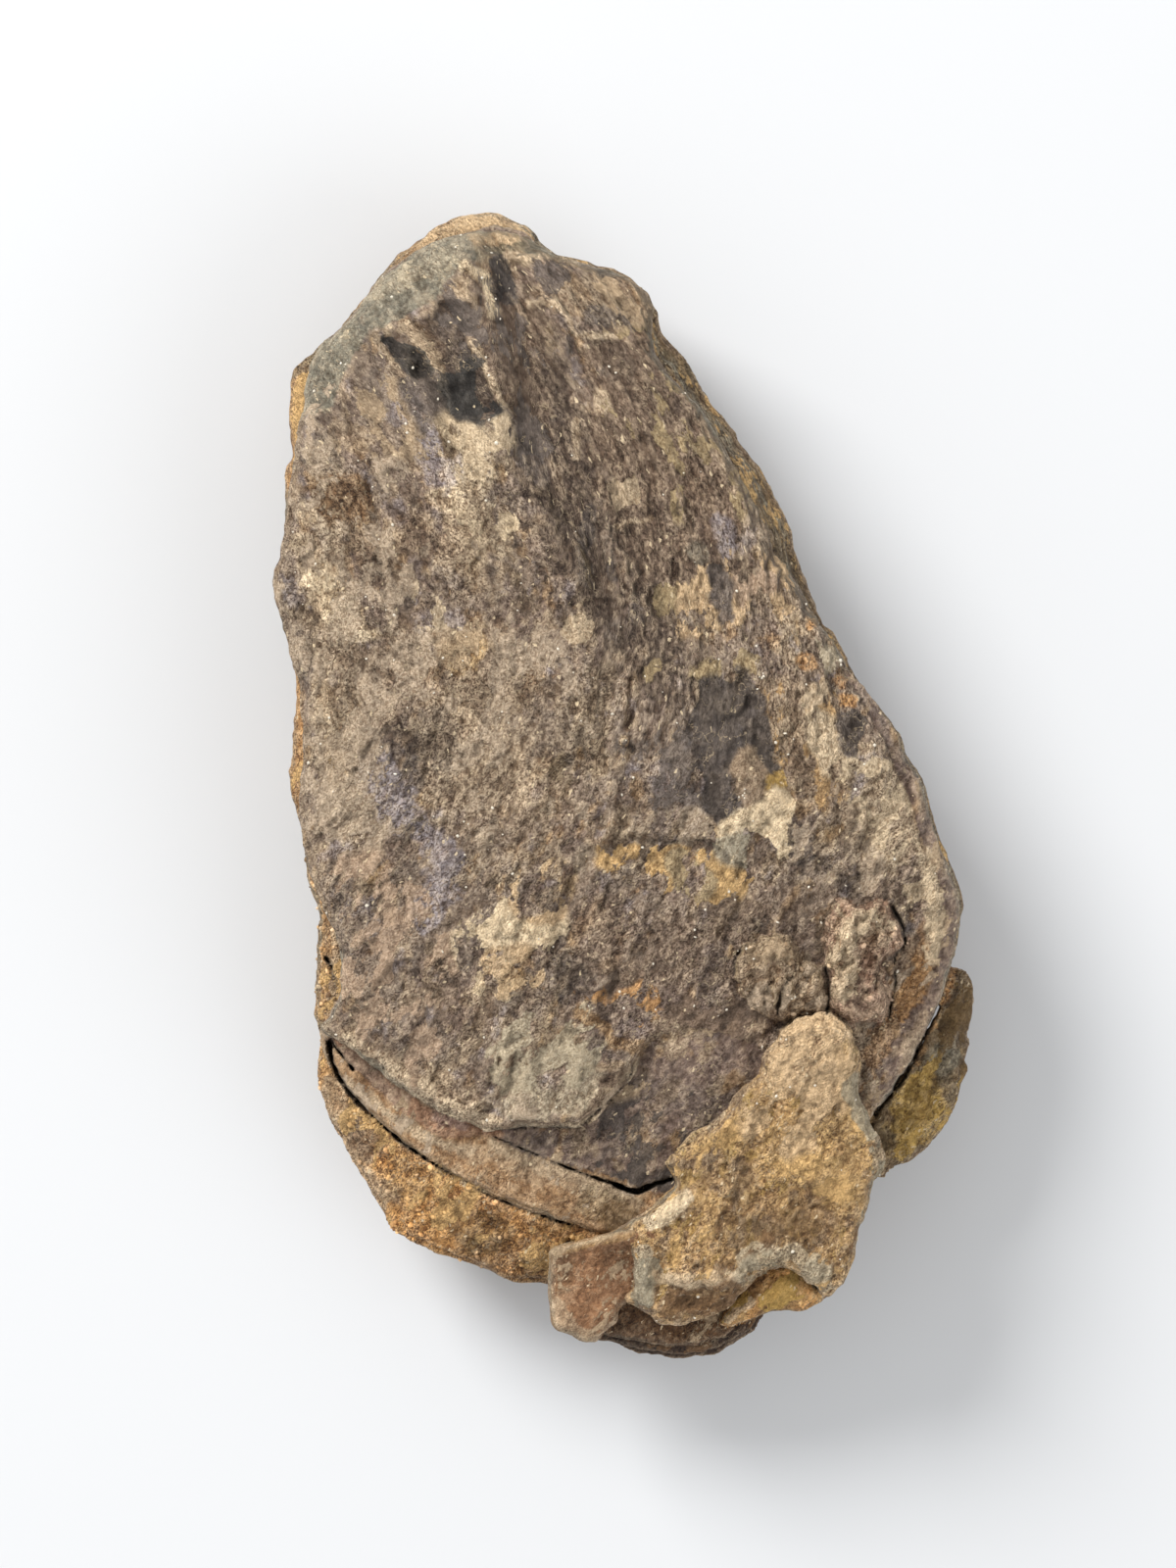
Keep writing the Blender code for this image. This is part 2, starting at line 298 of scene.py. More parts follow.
def dome(x, y):
    """The height of the plain dome, which falls away from its ridge and from its centre."""
    ridge = RIDGE_AT + RIDGE_LEAN * y
    across = np.where(x > ridge, RIGHT_FALL, LEFT_FALL) * (x - ridge) ** 2
    along = np.where(y < DOME_CENTRE, BROAD_END_FALL, NARROW_END_FALL) * (y - DOME_CENTRE) ** 2
    return CREST - across - along


print(f"the dome's crest is {CREST:.1f} mm up")

# %% Outlines of what is worn into the dome, or lies on it
RIDGE_FOOT = ((-12.0, 42.0), (-11.0, 36.0), (-9.6, 31.0), (-9.2, 27.8), (-8.2, 23.5),
              (-5.6, 19.0), (-3.0, 14.0), (-2.0, 9.0))
VALLEY = ((-15.3, 34.6), (-14.3, 35.2), (-14.0, 35.9), (-12.5, 36.2), (-11.2, 36.0), (-10.8, 35.0),
          (-11.6, 33.6), (-11.3, 32.2), (-10.4, 30.6), (-9.4, 28.6), (-9.8, 27.6), (-12.0, 27.3),
          (-13.4, 28.4), (-13.3, 30.4), (-13.8, 32.2), (-14.5, 33.8))
DEEP_PIT = ((-12.9, 30.3), (-11.6, 30.9), (-10.8, 30.2), (-9.6, 29.0), (-9.6, 28.0), (-10.4, 27.4),
            (-11.8, 27.4), (-12.9, 28.2), (-13.3, 29.4))
LONG_PIT = ((-18.0, 33.5), (-17.2, 33.5), (-16.3, 32.7), (-15.1, 31.9), (-14.8, 30.8), (-15.5, 30.8),
            (-16.5, 31.4), (-17.5, 32.3))
NARROW_SHADE = ((-15.4, 35.6), (-11.0, 36.6), (-6.6, 36.4), (-6.0, 30.0), (-6.4, 24.6), (-8.4, 25.4),
                (-9.4, 27.4), (-12.6, 26.4), (-15.0, 29.8))
DARK_HOLLOW = ((6.2, 7.3), (7.8, 7.7), (8.7, 8.1), (9.7, 7.3), (9.9, 5.6), (10.5, 3.6), (10.6, 2.0),
               (11.6, 0.5), (12.5, -0.8), (12.1, -1.9), (11.0, -0.4), (9.8, 1.8), (8.6, 2.8), (7.9, 1.8),
               (7.7, 0.0), (7.0, -2.4), (6.4, -1.8), (6.0, 0.6), (5.2, 2.4), (4.9, 4.6), (5.3, 6.3))
UPPER_CRUST = ((4.2, 15.9), (5.5, 16.4), (6.6, 17.1), (7.8, 16.3), (9.8, 16.3), (11.6, 16.4), (12.0, 15.0),
               (11.3, 13.3), (13.2, 11.7), (11.0, 12.2), (9.6, 12.8), (8.4, 12.3), (5.2, 12.4), (4.0, 14.2))
CREAM_CRUST = ((7.3, -3.0), (8.2, -2.0), (9.4, -1.5), (10.4, -1.2), (11.2, -0.5), (12.7, -1.5),
               (12.4, -2.6), (11.9, -3.3), (12.0, -4.3), (11.5, -5.3), (10.2, -4.1), (9.2, -3.1),
               (8.4, -2.8))
OCHRE_BAND = ((-0.8, -4.6), (0.6, -3.6), (3.4, -3.9), (5.6, -3.8), (7.2, -4.5), (8.6, -5.6), (8.6, -6.8),
              (7.6, -7.6), (6.6, -8.6), (5.0, -8.4), (3.8, -7.2), (1.6, -5.7), (-0.4, -5.7))
BUFF_RIDGE = ((-10.6, -9.6), (-7.6, -9.2), (-5.8, -9.8), (-6.2, -12.1), (-7.2, -13.7), (-7.8, -15.8),
              (-9.4, -15.8), (-10.6, -13.7), (-11.4, -12.1))
LOBE_FACET = ((-1.6, -21.5), (0.1, -20.9), (0.3, -21.8), (-0.3, -22.9), (-2.2, -24.6), (-3.7, -25.3),
              (-2.2, -23.2))
NARROW_LIP = ((-7.2, 35.9), (-5.2, 36.1), (-4.1, 34.8), (-3.5, 33.7), (-0.6, 33.4))
LOBE_LIP = ((-9.0, -20.0), (-9.6, -22.9), (-12.2, -24.1))
BROWN_SHOULDER = ((10.0, 7.6), (13.0, 8.2), (16.0, 7.2), (16.0, 3.4), (17.6, 1.2), (15.6, -0.6),
                  (12.6, -0.4), (11.0, 2.4), (10.4, 5.4))
PIT_GROOVE = ((-15.2, 31.0), (-14.0, 29.2), (-13.4, 27.0), (-13.1, 25.0))
PIT_RIB = ((-16.2, 34.3), (-15.3, 33.2), (-13.6, 30.4))
SHORT_GROOVE = ((-3.9, 33.4), (-4.0, 32.2))
BEVEL = ((-24.6, 27.4), (-22.8, 27.8), (-21.5, 28.8), (-20.3, 31.5), (-18.8, 33.8),
         (-17.0, 34.6), (-14.0, 36.1), (-13.0, 38.0), (-12.0, 39.0), (-10.0, 39.4),
         (-6.5, 40.0), (-4.0, 46.0), (-30.0, 46.0), (-32.0, 27.0))


# %% What wear and flaking do to the dome
def side_of(line, x, y):
    """Distance from a line, above zero to the right of it as it is drawn downwards."""
    path = smooth(line, closed=False)
    at = np.interp(-np.asarray(y), -path[:, 1], path[:, 0])
    return np.where(x > at, 1, -1) * distance(path, x, y, closed=False)


def combed(x, y):
    """Places across the grain. The grain leans right at the broad end and left at the narrow end."""
    upper = np.maximum(y, -4.0)
    return x - 0.30 * upper + 0.013 * upper ** 2 - 0.40 * (y - upper)


def worn_shapes(x, y):
    """What wear and flaking add to the dome, and take from it, in millimetres."""
    x, y = x + 0.5 * rough(x, y, 0, 2.4, 15, 3), y + 0.5 * rough(x, y, 0, 2.4, 16, 3)
    ragged = 0.7 * rough(x, y, 0, 1.6, 18, 4)

    def inside(outline, start, end):
        return ramp(within(outline, x, y) + ragged, start, end)

    beyond = side_of(RIDGE_FOOT, x, y) + 0.6 * lumps(x, y, 0, 2.6, 17)
    height = -1.35 * ramp(beyond, -0.4, 2.0) * ramp(y, 6.0, 14.0)
    height += 0.5 * stroke(x, y, ((-11.3, 33.0), (-10.4, 30.9), (-9.4, 28.9), (-8.6, 27.9)), 0.4, 0.4)
    height += 0.5 * spot(x, y, (-11.0, 22.5), (3.2, 9.0), 2.4, -14)
    height -= 0.7 * inside(LONG_PIT, -0.5, 0.5)
    height -= 0.5 * stroke(x, y, PIT_GROOVE, 0.4, 0.8)
    height -= 0.5 * inside(VALLEY, -0.5, 0.5) + 0.6 * inside(DEEP_PIT, -0.4, 1.2)
    height += 0.24 * stroke(x, y, NARROW_LIP, 0.3, 0.4)
    height -= 0.3 * stroke(x, y, SHORT_GROOVE, 0.4, 0.4)
    height += 0.4 * stroke(x, y, LOBE_LIP, 0.3, 0.5)
    height += 0.3 * stroke(x, y, PIT_RIB, 0.7, 0.6)
    height += 0.16 * stroke(x, y, ((-12.4, 38.9), (-10.6, 38.2), (-9.9, 35.4)), 0.6, 0.7)
    height -= 0.3 * stroke(x, y, ((-11.9, 38.4), (-11.0, 37.4), (-10.8, 36.0)), 0.2, 0.3)
    height -= 0.55 * inside(DARK_HOLLOW, -0.9, 0.7)
    height += 0.16 * inside(CREAM_CRUST, -0.3, 0.3)
    height -= 0.35 * inside(OCHRE_BAND, -0.2, 0.3) * ramp(y, -8.6, -5.0)
    height += 0.45 * inside(BUFF_RIDGE, -0.9, 0.9)
    height += 0.5 * spot(x, y, (12.5, 5.2), (4.6, 5.0), 1.8)
    height += (0.45 * spot(x, y, (-0.1, 3.4), (0.7, 0.7), 0.2)
               - 0.2 * spot(x, y, (0.35, 2.9), (0.8, 0.6), 0.3))
    height -= 0.35 * stroke(x, y, ((15.6, 8.0), (17.0, 5.2), (17.2, 3.0)), 1.0, 0.8)
    height -= 0.4 * stroke(x, y, ((0.3, 8.0), (0.4, 6.3), (0.2, 4.5)), 0.3, 0.35)
    height -= 0.3 * spot(x, y, (-4.2, -11.5), (2.8, 7.5), 1.3, -12)
    height -= 0.35 * stroke(x, y, ((-1.0, -3.8), (-3.6, -6.4), (-5.6, -10.0)), 0.7, 0.8)
    height -= 0.4 * stroke(x, y, ((21.4, -8.0), (22.0, -11.0), (21.4, -14.0), (20.4, -17.0)), 1.4, 0.9)
    bevel = np.clip(within(BEVEL, x, y), 0, None)
    return height - 0.55 * bevel - 0.16 * np.minimum(bevel, 1.4)


# %% Flakes and swells
def flakes(x, y, size, seed, levels=(-0.22, 0.02, 0.26)):
    """Low terraces with crisp edges, from 0 to 1, as left where thin flakes have come off."""
    bent_x = x + 0.3 * size * lumps(x, y, 0, 0.45 * size, seed)
    bent_y = y + 0.3 * size * lumps(x, y, 0, 0.45 * size, seed + 1)
    field = rough(combed(bent_x, bent_y), bent_y, 0, (0.7 * size, 1.5 * size, 1.0), seed + 2)
    return sum(ramp(field, level, level + 0.3 / size) for level in levels) / len(levels)


def terraces(x, y):
    """Flakes of three sizes, from the thickest to the finest."""
    return flakes(x, y, 6.5, 70), flakes(x, y, 2.8, 75), flakes(x, y, 1.3, 80)


def weathering(x, y):
    """Gentle swells with flakes gone from them, the same for every leaf."""
    swell = 0.26 * lumps(x, y, 0, 7.0, 1) + 0.14 * lumps(x, y, 0, 3.0, 2)
    thick, thin, crisp = terraces(x, y)
    return swell + (0.55 * thick + 0.38 * thin + 0.22 * crisp) * (1 - 0.4 * ramp(y, 20.0, 28.0))


# %% Rounded edges, and the tops of the slabs
def rounding(edge, reach, drop):
    """How much a leaf has worn down near its edge, given the distance in from the edge."""
    return drop * np.clip(1 - edge / reach, 0, 1) ** 2


def lower_top(x, y, edge):
    crescent = ramp(y, -15.0, -21.0) * ramp(x, 6.0, 0.0)
    crumbs = 0.35 * lumps(x, y, 0, 1.9, 20) + 0.3 * lumps(x, y, 0, 0.9, 21)
    plain = 11.9 - rounding(edge, 1.6, 1.3)
    worn = 8.9 + 3.1 * np.clip(edge / 5.5, 0, 1) ** 0.7 + crumbs
    strip = ramp(x, -2.0, 4.0) * ramp(y, 8.0, 16.0)
    shoulder = 9.6 + 1.75 * np.clip(edge, 0, 3.0) + 0.5 * crumbs
    top = plain + crescent * (worn - plain)
    return top + strip * (shoulder - top)


def bed_under(x, y):
    """The height of the bed that shows where the top bed has broken away."""
    lens = ramp(x, 8.0, 0.0) * ramp(y, -16.0, -20.0)
    cove = ramp(x, -8.5, -12.5) * ramp(y, -15.0, -19.0)
    seamless = 0.5 * ramp(x, -0.5, 2.5) * ramp(y, -25.0, -21.0) * ramp(y, -15.5, -18.5)
    return (dome(x, y) + worn_shapes(x, y) + 0.6 * weathering(x, y)
            - 0.45 - 0.75 * lens - 0.35 * cove + seamless)


def edge_top(x, y, edge):
    face = 12.0 + 2.6 * np.clip(edge / 3.4, 0, 1) ** 0.7
    return np.minimum(face, bed_under(x, y) - 0.1) - rounding(edge, 0.5, 0.6)


def middle_top(x, y, edge):
    return bed_under(x, y) - rounding(edge, 0.7, 0.35)


def top_top(x, y, edge):
    lip = 0.3 * ramp(y, -17.0, -20.0) * ramp(edge, 1.8, 0.5) * ramp(x, 1.5, 0.0)
    lobe = 0.6 * ramp(within(LOBE_FACET, x, y), -0.2, 0.8)
    right = ramp(x, 14.0, 20.0)
    worn = rounding(edge, 0.9 + 1.8 * right, 0.75 + 0.9 * right)
    return dome(x, y) + worn_shapes(x, y) + weathering(x, y) + lip - lobe - worn


# %% The tops of the loose leaf, the foot, the side leaf, the lumps and the knob
def loose_top(x, y, edge):
    drape = 18.2 + 0.20 * (y + 17.0) + 0.02 * (x - 14.0)
    height = drape + 0.5 * spot(x, y, (14.0, -21.0), (5.0, 7.0), 3.0)
    height -= 0.7 * spot(x, y, (8.5, -30.0), (7.0, 8.0), 4.0, 40)
    height -= 0.5 * spot(x, y, (13.6, -31.8), (4.6, 3.4), 1.6, 30)
    height += 0.45 * stroke(x, y, ((3.6, -36.6), (5.8, -36.9), (8.4, -36.6)), 0.8, 0.7)
    height -= 0.35 * spot(x, y, (5.2, -38.6), (4.4, 1.6), 1.0, -8)
    height += 0.4 * stroke(x, y, ((1.3, -35.0), (1.5, -36.8), (1.6, -38.4)), 1.1, 0.5)
    height += 0.35 * stroke(x, y, ((9.0, -35.2), (11.4, -34.8), (14.0, -35.6)), 1.0, 0.7)
    knobbly = 0.22 * lumps(x, y, 0, 1.7, 25) + 0.14 * lumps(x, y, 0, 0.8, 26)
    return height + knobbly + 0.9 * weathering(x, y) - rounding(edge, 0.9, 0.6)


def foot_top(x, y, edge):
    rise = 1.6 * ramp(y, -36.0, -33.2)
    return 13.0 + 0.10 * (y + 37.0) + rise + 0.35 * weathering(x, y) - rounding(edge, 0.8, 0.5)


def side_top(x, y, edge):
    inner = spot(x, y, (22.4, -22.5), (6.0, 9.0), 1.0, -35)
    worn = rounding(edge, 1.2, 0.9)
    return 9.9 - 0.10 * (x - 22.0) + 0.7 * inner + 0.9 * weathering(x, y) - worn


def lump_top(x, y, edge):
    pitted = (0.4 * lumps(x, y, 0, 1.9, 22) + 0.25 * lumps(x, y, 0, 0.9, 23)
              + 0.9 * flakes(x, y, 1.6, 85))
    mound = 1.0 * np.clip(edge / 0.5, 0, 1) ** 0.7 + 0.8 * np.clip(edge / 2.4, 0, 1) ** 0.8
    return dome(x, y) + mound + pitted + 0.7 * weathering(x, y)


def knob_top(x, y, edge):
    return 11.9 + 1.0 * np.clip(edge / 1.5, 0, 1) ** 0.6 + 0.3 * weathering(x, y)


def under_top(height):
    return lambda x, y, edge: height + 0.25 * weathering(x, y) - rounding(edge, 0.6, 0.3)


# %% [markdown]
# ## The sides
# A split edge of shale looks like the pages of a wet book: some beds stand out as ledges, others
# have crumbled back. One row of random ledges, read by height and shifted a little from place to
# place, gives every leaf its own pages. The lower slab also tucks in towards the face it lies on.

# %% Ledges and the belly
BED = 0.42  # thickness of the thinnest beds
BED_COUNT = 80  # enough for more than the stone's height, so no bed is used twice
FIRST_BED = 12  # where height zero comes in the row, so that no height comes before its start
BOLD_SHARE = 0.35  # how many of the ledges stand out boldly
ledges = rng.uniform(-1, 1, BED_COUNT)
ledges = np.where(rng.random(BED_COUNT) < BOLD_SHARE, ledges * 1.6, ledges * 0.5)
ledges = np.repeat(ledges, rng.integers(1, 4, BED_COUNT))[:BED_COUNT]
BELLY_HEIGHTS = (-1.0, 0.0, 0.5, 1.5, 3.0, 5.0, 8.0, 10.0, 12.0)
BELLY_TUCKS = (9.0, 6.4, 5.2, 3.7, 2.2, 0.9, 0.0, 0.1, 0.3)


def bed_shift(x, y):
    """How far the beds rise and fall from place to place."""
    return 0.9 * lumps(x, y, 0, 14.0, 11) + 0.25 * lumps(x, y, 0, 3.0, 12)


def pages(x, y, z):
    """How far each bed stands out of a split side, from about -1 to 1."""
    at = (z + bed_shift(x, y)) / BED + FIRST_BED
    whole = np.floor(at)
    blend = ramp(at - whole, 0.55, 1.0)
    first = ledges[whole.astype(int) % BED_COUNT]
    then = ledges[(whole.astype(int) + 1) % BED_COUNT]
    return (first + (then - first) * blend) * (1 + 0.7 * lumps(x, y, 0, 4.0, 13))


def belly(z):
    """How far the lower slab tucks in at each height."""
    return np.interp(z, BELLY_HEIGHTS, BELLY_TUCKS)


# %% Every leaf, from the lowest up
def leaf(name, outline, top, floor, ragged=0.2, ledge=0.25, tucked=False):
    return {"name": name, "line": smooth(outline, closed=True), "top": top, "floor": floor,
            "ragged": ragged, "ledge": ledge, "tucked": tucked}


LEAVES = [
    leaf("lower slab", LOWER_SLAB, lower_top, -0.6, 0.18, 0.26, tucked=True),
    leaf("side leaf", SIDE_LEAF, side_top, 8.6, 0.24, 0.22),
    leaf("edge bed", EDGE_BED, edge_top, 10.2, 0.14, 0.24),
    leaf("middle bed", MIDDLE_BED, middle_top, 11.0, 0.12, 0.2),
    leaf("top bed", TOP_BED, top_top, 13.2, 0.18, 0.24),
    leaf("left lump", LEFT_LUMP, lump_top, 14.0, 0.35, 0.1),
    leaf("right lump", RIGHT_LUMP, lump_top, 14.0, 0.35, 0.1),
    leaf("low under leaf", UNDER_LEAVES[2], under_top(9.5), 7.6, 0.18, 0.2),
    leaf("mid under leaf", UNDER_LEAVES[1], under_top(10.5), 9.0, 0.18, 0.15),
    leaf("high under leaf", UNDER_LEAVES[0], under_top(11.4), 10.0, 0.18, 0.15),
    leaf("knob", KNOB, knob_top, 9.0, 0.2, 0.1),
    leaf("foot", FOOT, foot_top, 10.4, 0.14, 0.18),
    leaf("loose leaf", LOOSE_LEAF, loose_top, 11.6, 0.22, 0.2),
]
print(f"{len(LEAVES)} leaves, from {LEAVES[0]['name']} to {LEAVES[-1]['name']}")


def edge_of(item, x, y):
    """Distance in from a leaf's outline, made ragged."""
    edge = distance(item["line"], x, y, closed=True)
    return edge + item["ragged"] * (rough(x, y, 0, 1.6, 6, 2) + 0.5 * lumps(x, y, 0, 0.7, 9))


def solid_of(item, x, y, z, page):
    """A leaf as distances: below zero inside it and above zero outside."""
    edge = edge_of(item, x, y)
    wall = (belly(z) if item["tucked"] else 0.0) - edge - item["ledge"] * page
    return np.maximum(np.maximum(wall, z - item["top"](x, y, edge)), item["floor"] - z)


# %% [markdown]
# ## Open cracks
# The leaves have begun to part. A long crack follows the foot of the upper slab across the lower
# left, a shorter one opens above it, the side leaf has come away on the right, and a dark
# crevice runs in under the loose leaf. Each crack is a stroke that is cut down into the stone.

# %% Cracks, each as a line, a width and a depth
CRACKS = (
    (((-22.3, -19.2), (-21.8, -21.2), (-20.9, -22.7), (-20.1, -23.7)), 0.36, 3.0),
    (((-20.1, -23.7), (-18.5, -25.3), (-17.0, -26.5), (-15.0, -28.0)), 0.24, 2.6),
    (((-15.0, -28.0), (-13.0, -29.2), (-11.5, -30.1)), 0.12, 2.0),
    (((-11.5, -30.1), (-9.1, -31.2), (-5.2, -32.6), (-2.2, -33.5)), 0.1, 1.4),
    (((-22.1, -19.0), (-21.2, -20.2), (-20.4, -21.2)), 0.26, 1.8),
    (((-9.9, -26.2), (-7.1, -27.4), (-5.0, -28.3)), 0.08, 1.0),
    (((-5.0, -28.3), (-3.2, -29.0), (-0.6, -29.9)), 0.22, 1.4),
    (((-0.8, -29.9), (0.8, -30.4), (2.0, -29.9), (3.4, -29.4)), 0.48, 2.8),
    (((-9.6, -25.8), (-7.0, -25.5), (-4.6, -25.5), (-3.4, -25.4), (-2.2, -24.4), (-0.6, -22.9),
      (0.4, -21.6), (0.5, -20.4)), 0.06, 0.7),
    (((23.5, -16.6), (22.7, -18.3), (21.3, -21.1), (19.9, -23.1), (18.8, -24.6)), 0.36, 3.0),
    (((14.9, -13.5), (15.2, -15.2), (15.0, -16.9)), 0.16, 0.9),
    (((8.1, -14.0), (8.2, -12.8), (9.0, -11.8)), 0.1, 0.6),
    (((12.5, -14.0), (11.6, -15.2), (11.3, -17.0)), 0.1, 0.6),
    (((19.9, -9.0), (20.6, -10.3), (20.9, -11.6)), 0.2, 0.8),
    (((20.9, -11.8), (20.1, -12.8), (20.2, -14.6)), 0.12, 0.7),
    (((20.2, -14.6), (19.9, -16.0), (19.7, -17.4)), 0.18, 0.8),
    (((-22.5, -12.9), (-22.1, -13.6), (-22.0, -14.3)), 0.26, 2.4),
)


def stray(width):
    """How far a crack's walls stray from its line. Those of a wide crack stray further."""
    return 0.08 + 0.2 * width


def cut_cracks(solid, x, y, z, surface):
    """The solid with every crack cut down into it from its surface."""
    ragged = rough(x, y, 0, 1.8, 14, 3)
    fine = 0.14 * rough(x, y, 0, 0.7, 44, 2)
    for points, width, depth in CRACKS:
        walls = width / 2 + (stray(width) * ragged + fine) - away_from(points, x, y)
        solid = np.maximum(solid, np.minimum(walls, z - surface + depth))
    return solid


print(f"{len(CRACKS)} cracks, the deepest {max(depth for _, _, depth in CRACKS)} mm")

# %% [markdown]
# ## Skins
# The leaves make three pieces: the lower slab, the upper slab and the loose leaves on the broad
# end. For each piece, every cell of a fine grid gets the smallest of its leaves' distances, which
# joins them as a union does. Blender comes with OpenVDB, which turns such a grid into a mesh where
# the distance passes through zero. The cells are largest on the lower slab, which shows least.

# %% A grid of distances for a piece
COARSER = 1.0
MARGIN = 1.2  # room between the leaves and the walls of the grid
FAR = 9.0  # a distance larger than any near a skin


def corners_of(items):
    """The lowest and highest corner of a box around these leaves."""
    plan = np.concatenate([item["line"] for item in items])
    low = (*plan.min(axis=0) - MARGIN, max(min(item["floor"] for item in items), 0.0) - MARGIN)
    return np.array(low), np.array((*plan.max(axis=0) + MARGIN, cad_high[2] + MARGIN))


def grid_of(items, cell):
    """Every cell's distance from the stone, and which leaf each cell is nearest to."""
    low, high = corners_of(items)
    counts = np.ceil((high - low) / cell).astype(int)
    x, y, z = (low[a] + cell * np.arange(counts[a], dtype=np.float32) for a in range(3))
    x, y, z = x[:, None, None], y[None, :, None], z[None, None, :]
    page = pages(x, y, z).astype(np.float32)
    solid = np.full(tuple(counts), FAR, np.float32)
    owner = np.zeros(tuple(counts), np.uint8)
    for item in items:
        one = solid_of(item, x, y, z, page).astype(np.float32)
        owner[one < solid] = LEAVES.index(item)
        solid = np.minimum(solid, one)
    inside = solid < 0
    surface = np.where(inside.any(axis=2), (inside * z).max(axis=2), 0.0)[:, :, None]
    solid = cut_cracks(solid, x, y, z, surface)
    return {"low": low, "cell": cell, "solid": np.maximum(solid, -z), "owner": owner}


# %% Grow the skins
def mesh_object(name, points, faces):
    """A new mesh piece from points in millimetres and rows of face corners."""
    data = bpy.data.meshes.new(name)
    data.vertices.add(len(points))
    data.vertices.foreach_set("co", (np.asarray(points) * MM).astype(np.float32).ravel())
    data.loops.add(faces.size)
    data.loops.foreach_set("vertex_index", faces.astype(np.int32).ravel())
    data.polygons.add(len(faces))
    data.polygons.foreach_set("loop_start", np.arange(0, faces.size, faces.shape[1], dtype=np.int32))
    data.update(calc_edges=True)
    data.validate()
    piece = bpy.data.objects.new(name, data)
    bpy.context.scene.collection.objects.link(piece)
    return piece


def grown(name, leaf_names, cell):
    """A piece of the stone, with the grid that it grew from."""
    items = [item for item in LEAVES if item["name"] in leaf_names]
    grid = grid_of(items, cell * COARSER)
    volume = openvdb.FloatGrid(background=1.0)
    volume.copyFromArray(np.clip(grid["solid"], -1.0, 1.0))
    points, quads = volume.convertToQuads(isovalue=0.0)
    piece = mesh_object(name, grid["low"] + grid["cell"] * points.astype(float), quads)
    print(f"{name}: {len(points)} points and {len(quads)} faces grown")
    return piece, grid


UPPER_NAMES = ("edge bed", "middle bed", "top bed", "left lump", "right lump")
LOOSE_NAMES = ("low under leaf", "mid under leaf", "high under leaf", "knob", "foot", "loose leaf")
stone_pieces = [
    grown("lower_slab", ("lower slab", "side leaf"), 0.22),
    grown("upper_slab", UPPER_NAMES, 0.165),
    grown("loose_leaves", LOOSE_NAMES, 0.15),
]

# %% [markdown]
# ## Grain in the skins
# Up close the top is gritty, with upright fibres on its right half, and the split sides are
# ribbed along the beds. These are made as real shape, by moving each point along its normal.
# What is finer than the mesh comes later, as bump in the material.

# %% Where points are, and which leaf they belong to
MOST_TRIANGLES = {"lower_slab": 120000, "upper_slab": 196000, "loose_leaves": 130000}
HIDDEN_SHARE = 0.06  # how many of the hidden faces are kept


def places_and_normals(piece):
    data = piece.data
    places = np.empty(len(data.vertices) * 3, np.float32)
    normals = np.empty(len(data.vertices) * 3, np.float32)
    data.vertices.foreach_get("co", places)
    data.vertex_normals.foreach_get("vector", normals)
    return places.reshape(-1, 3) / MM, normals.reshape(-1, 3)


def owners(places, grid):
    """Which leaf each point belongs to, read from the grid's nearest cell."""
    cells = np.rint((places - grid["low"]) / grid["cell"]).astype(int)
    cells = np.clip(cells, 0, np.array(grid["owner"].shape) - 1)
    return grid["owner"][cells[:, 0], cells[:, 1], cells[:, 2]]


def is_leaf(owner, *names):
    return np.isin(owner, [k for k, item in enumerate(LEAVES) if item["name"] in names])


def fibres(x, y):
    """Where the top is fibrous: right of the ridge's foot and up to the narrow end."""
    return ramp(side_of(RIDGE_FOOT, x, y), -0.5, 3.0) * ramp(y, -2.0, 8.0)


# %% Push the grain in
def grain_height(places, normals, owner):
    """How far to move each point: grit and fibres on top, ribs along the beds on the sides."""
    x, y, z = places.T
    flat = ramp(np.abs(normals[:, 2]), 0.35, 0.75)
    below = ramp(normals[:, 2], -0.3, -0.8)
    crumbly = is_leaf(owner, "loose leaf", "left lump", "right lump") * 0.6
    crumbly += is_leaf(owner, "lower slab") * ramp(y, -18.0, -22.0) * 0.9
    u = combed(x, y)
    fibre = fibres(x, y) * is_leaf(owner, "top bed")
    coarse = (0.10 + 0.10 * crumbly) * rough(u, y, z, (0.7, 1.3, 1.0), 30)
    grit = coarse + 0.08 * lumps(x, y, z, 0.42, 33)
    streak = 0.3 * rough(u, y, z, (0.5, 2.0, 1.0), 34, 3)
    ribs = 0.18 * rough(x, y, z, (3.0, 3.0, 0.34), 36, 2) + 0.13 * rough(x, y, z, 1.3, 38)
    top = grit + fibre * (streak - 0.3 * grit)
    height = flat * top + (1 - flat) * ribs
    return height * (1 - 0.6 * below) * ramp(z, 0.0, 0.5)


def push_grain(piece, grid):
    places, normals = places_and_normals(piece)
    places = places + normals * grain_height(places, normals, owners(places, grid))[:, None]
    piece.data.vertices.foreach_set("co", (places * MM).astype(np.float32).ravel())
    piece.data.update()


# %% Merge the flattest faces, and nearly all of the hidden ones
def hidden_points(piece):
    """Points that no one sees: the underside, and what lies under another leaf."""
    places, normals = places_and_normals(piece)
    x, y, z = places.T
    if piece.name == "lower_slab":
        covered = within(EDGE_BED, x, y) > 1.2
        return (z < 0.3) | (covered & (normals[:, 2] > 0.5) & (z > 9.0))
    return (normals[:, 2] < -0.6) & (z < 12.5)


def thinned(piece, ratio, group_name):
    """Merges faces until this share is left, and first of all those in the group."""
    thin = piece.modifiers.new("thin", "DECIMATE")
    thin.ratio = min(1.0, ratio)
    thin.vertex_group = group_name
    thin.vertex_group_factor = 10.0
    graph = bpy.context.evaluated_depsgraph_get()
    made = bpy.data.meshes.new_from_object(piece.evaluated_get(graph))
    piece.modifiers.clear()
    piece.data = made


def triangle_count(piece):
    return len(piece.data.loops) - 2 * len(piece.data.polygons)


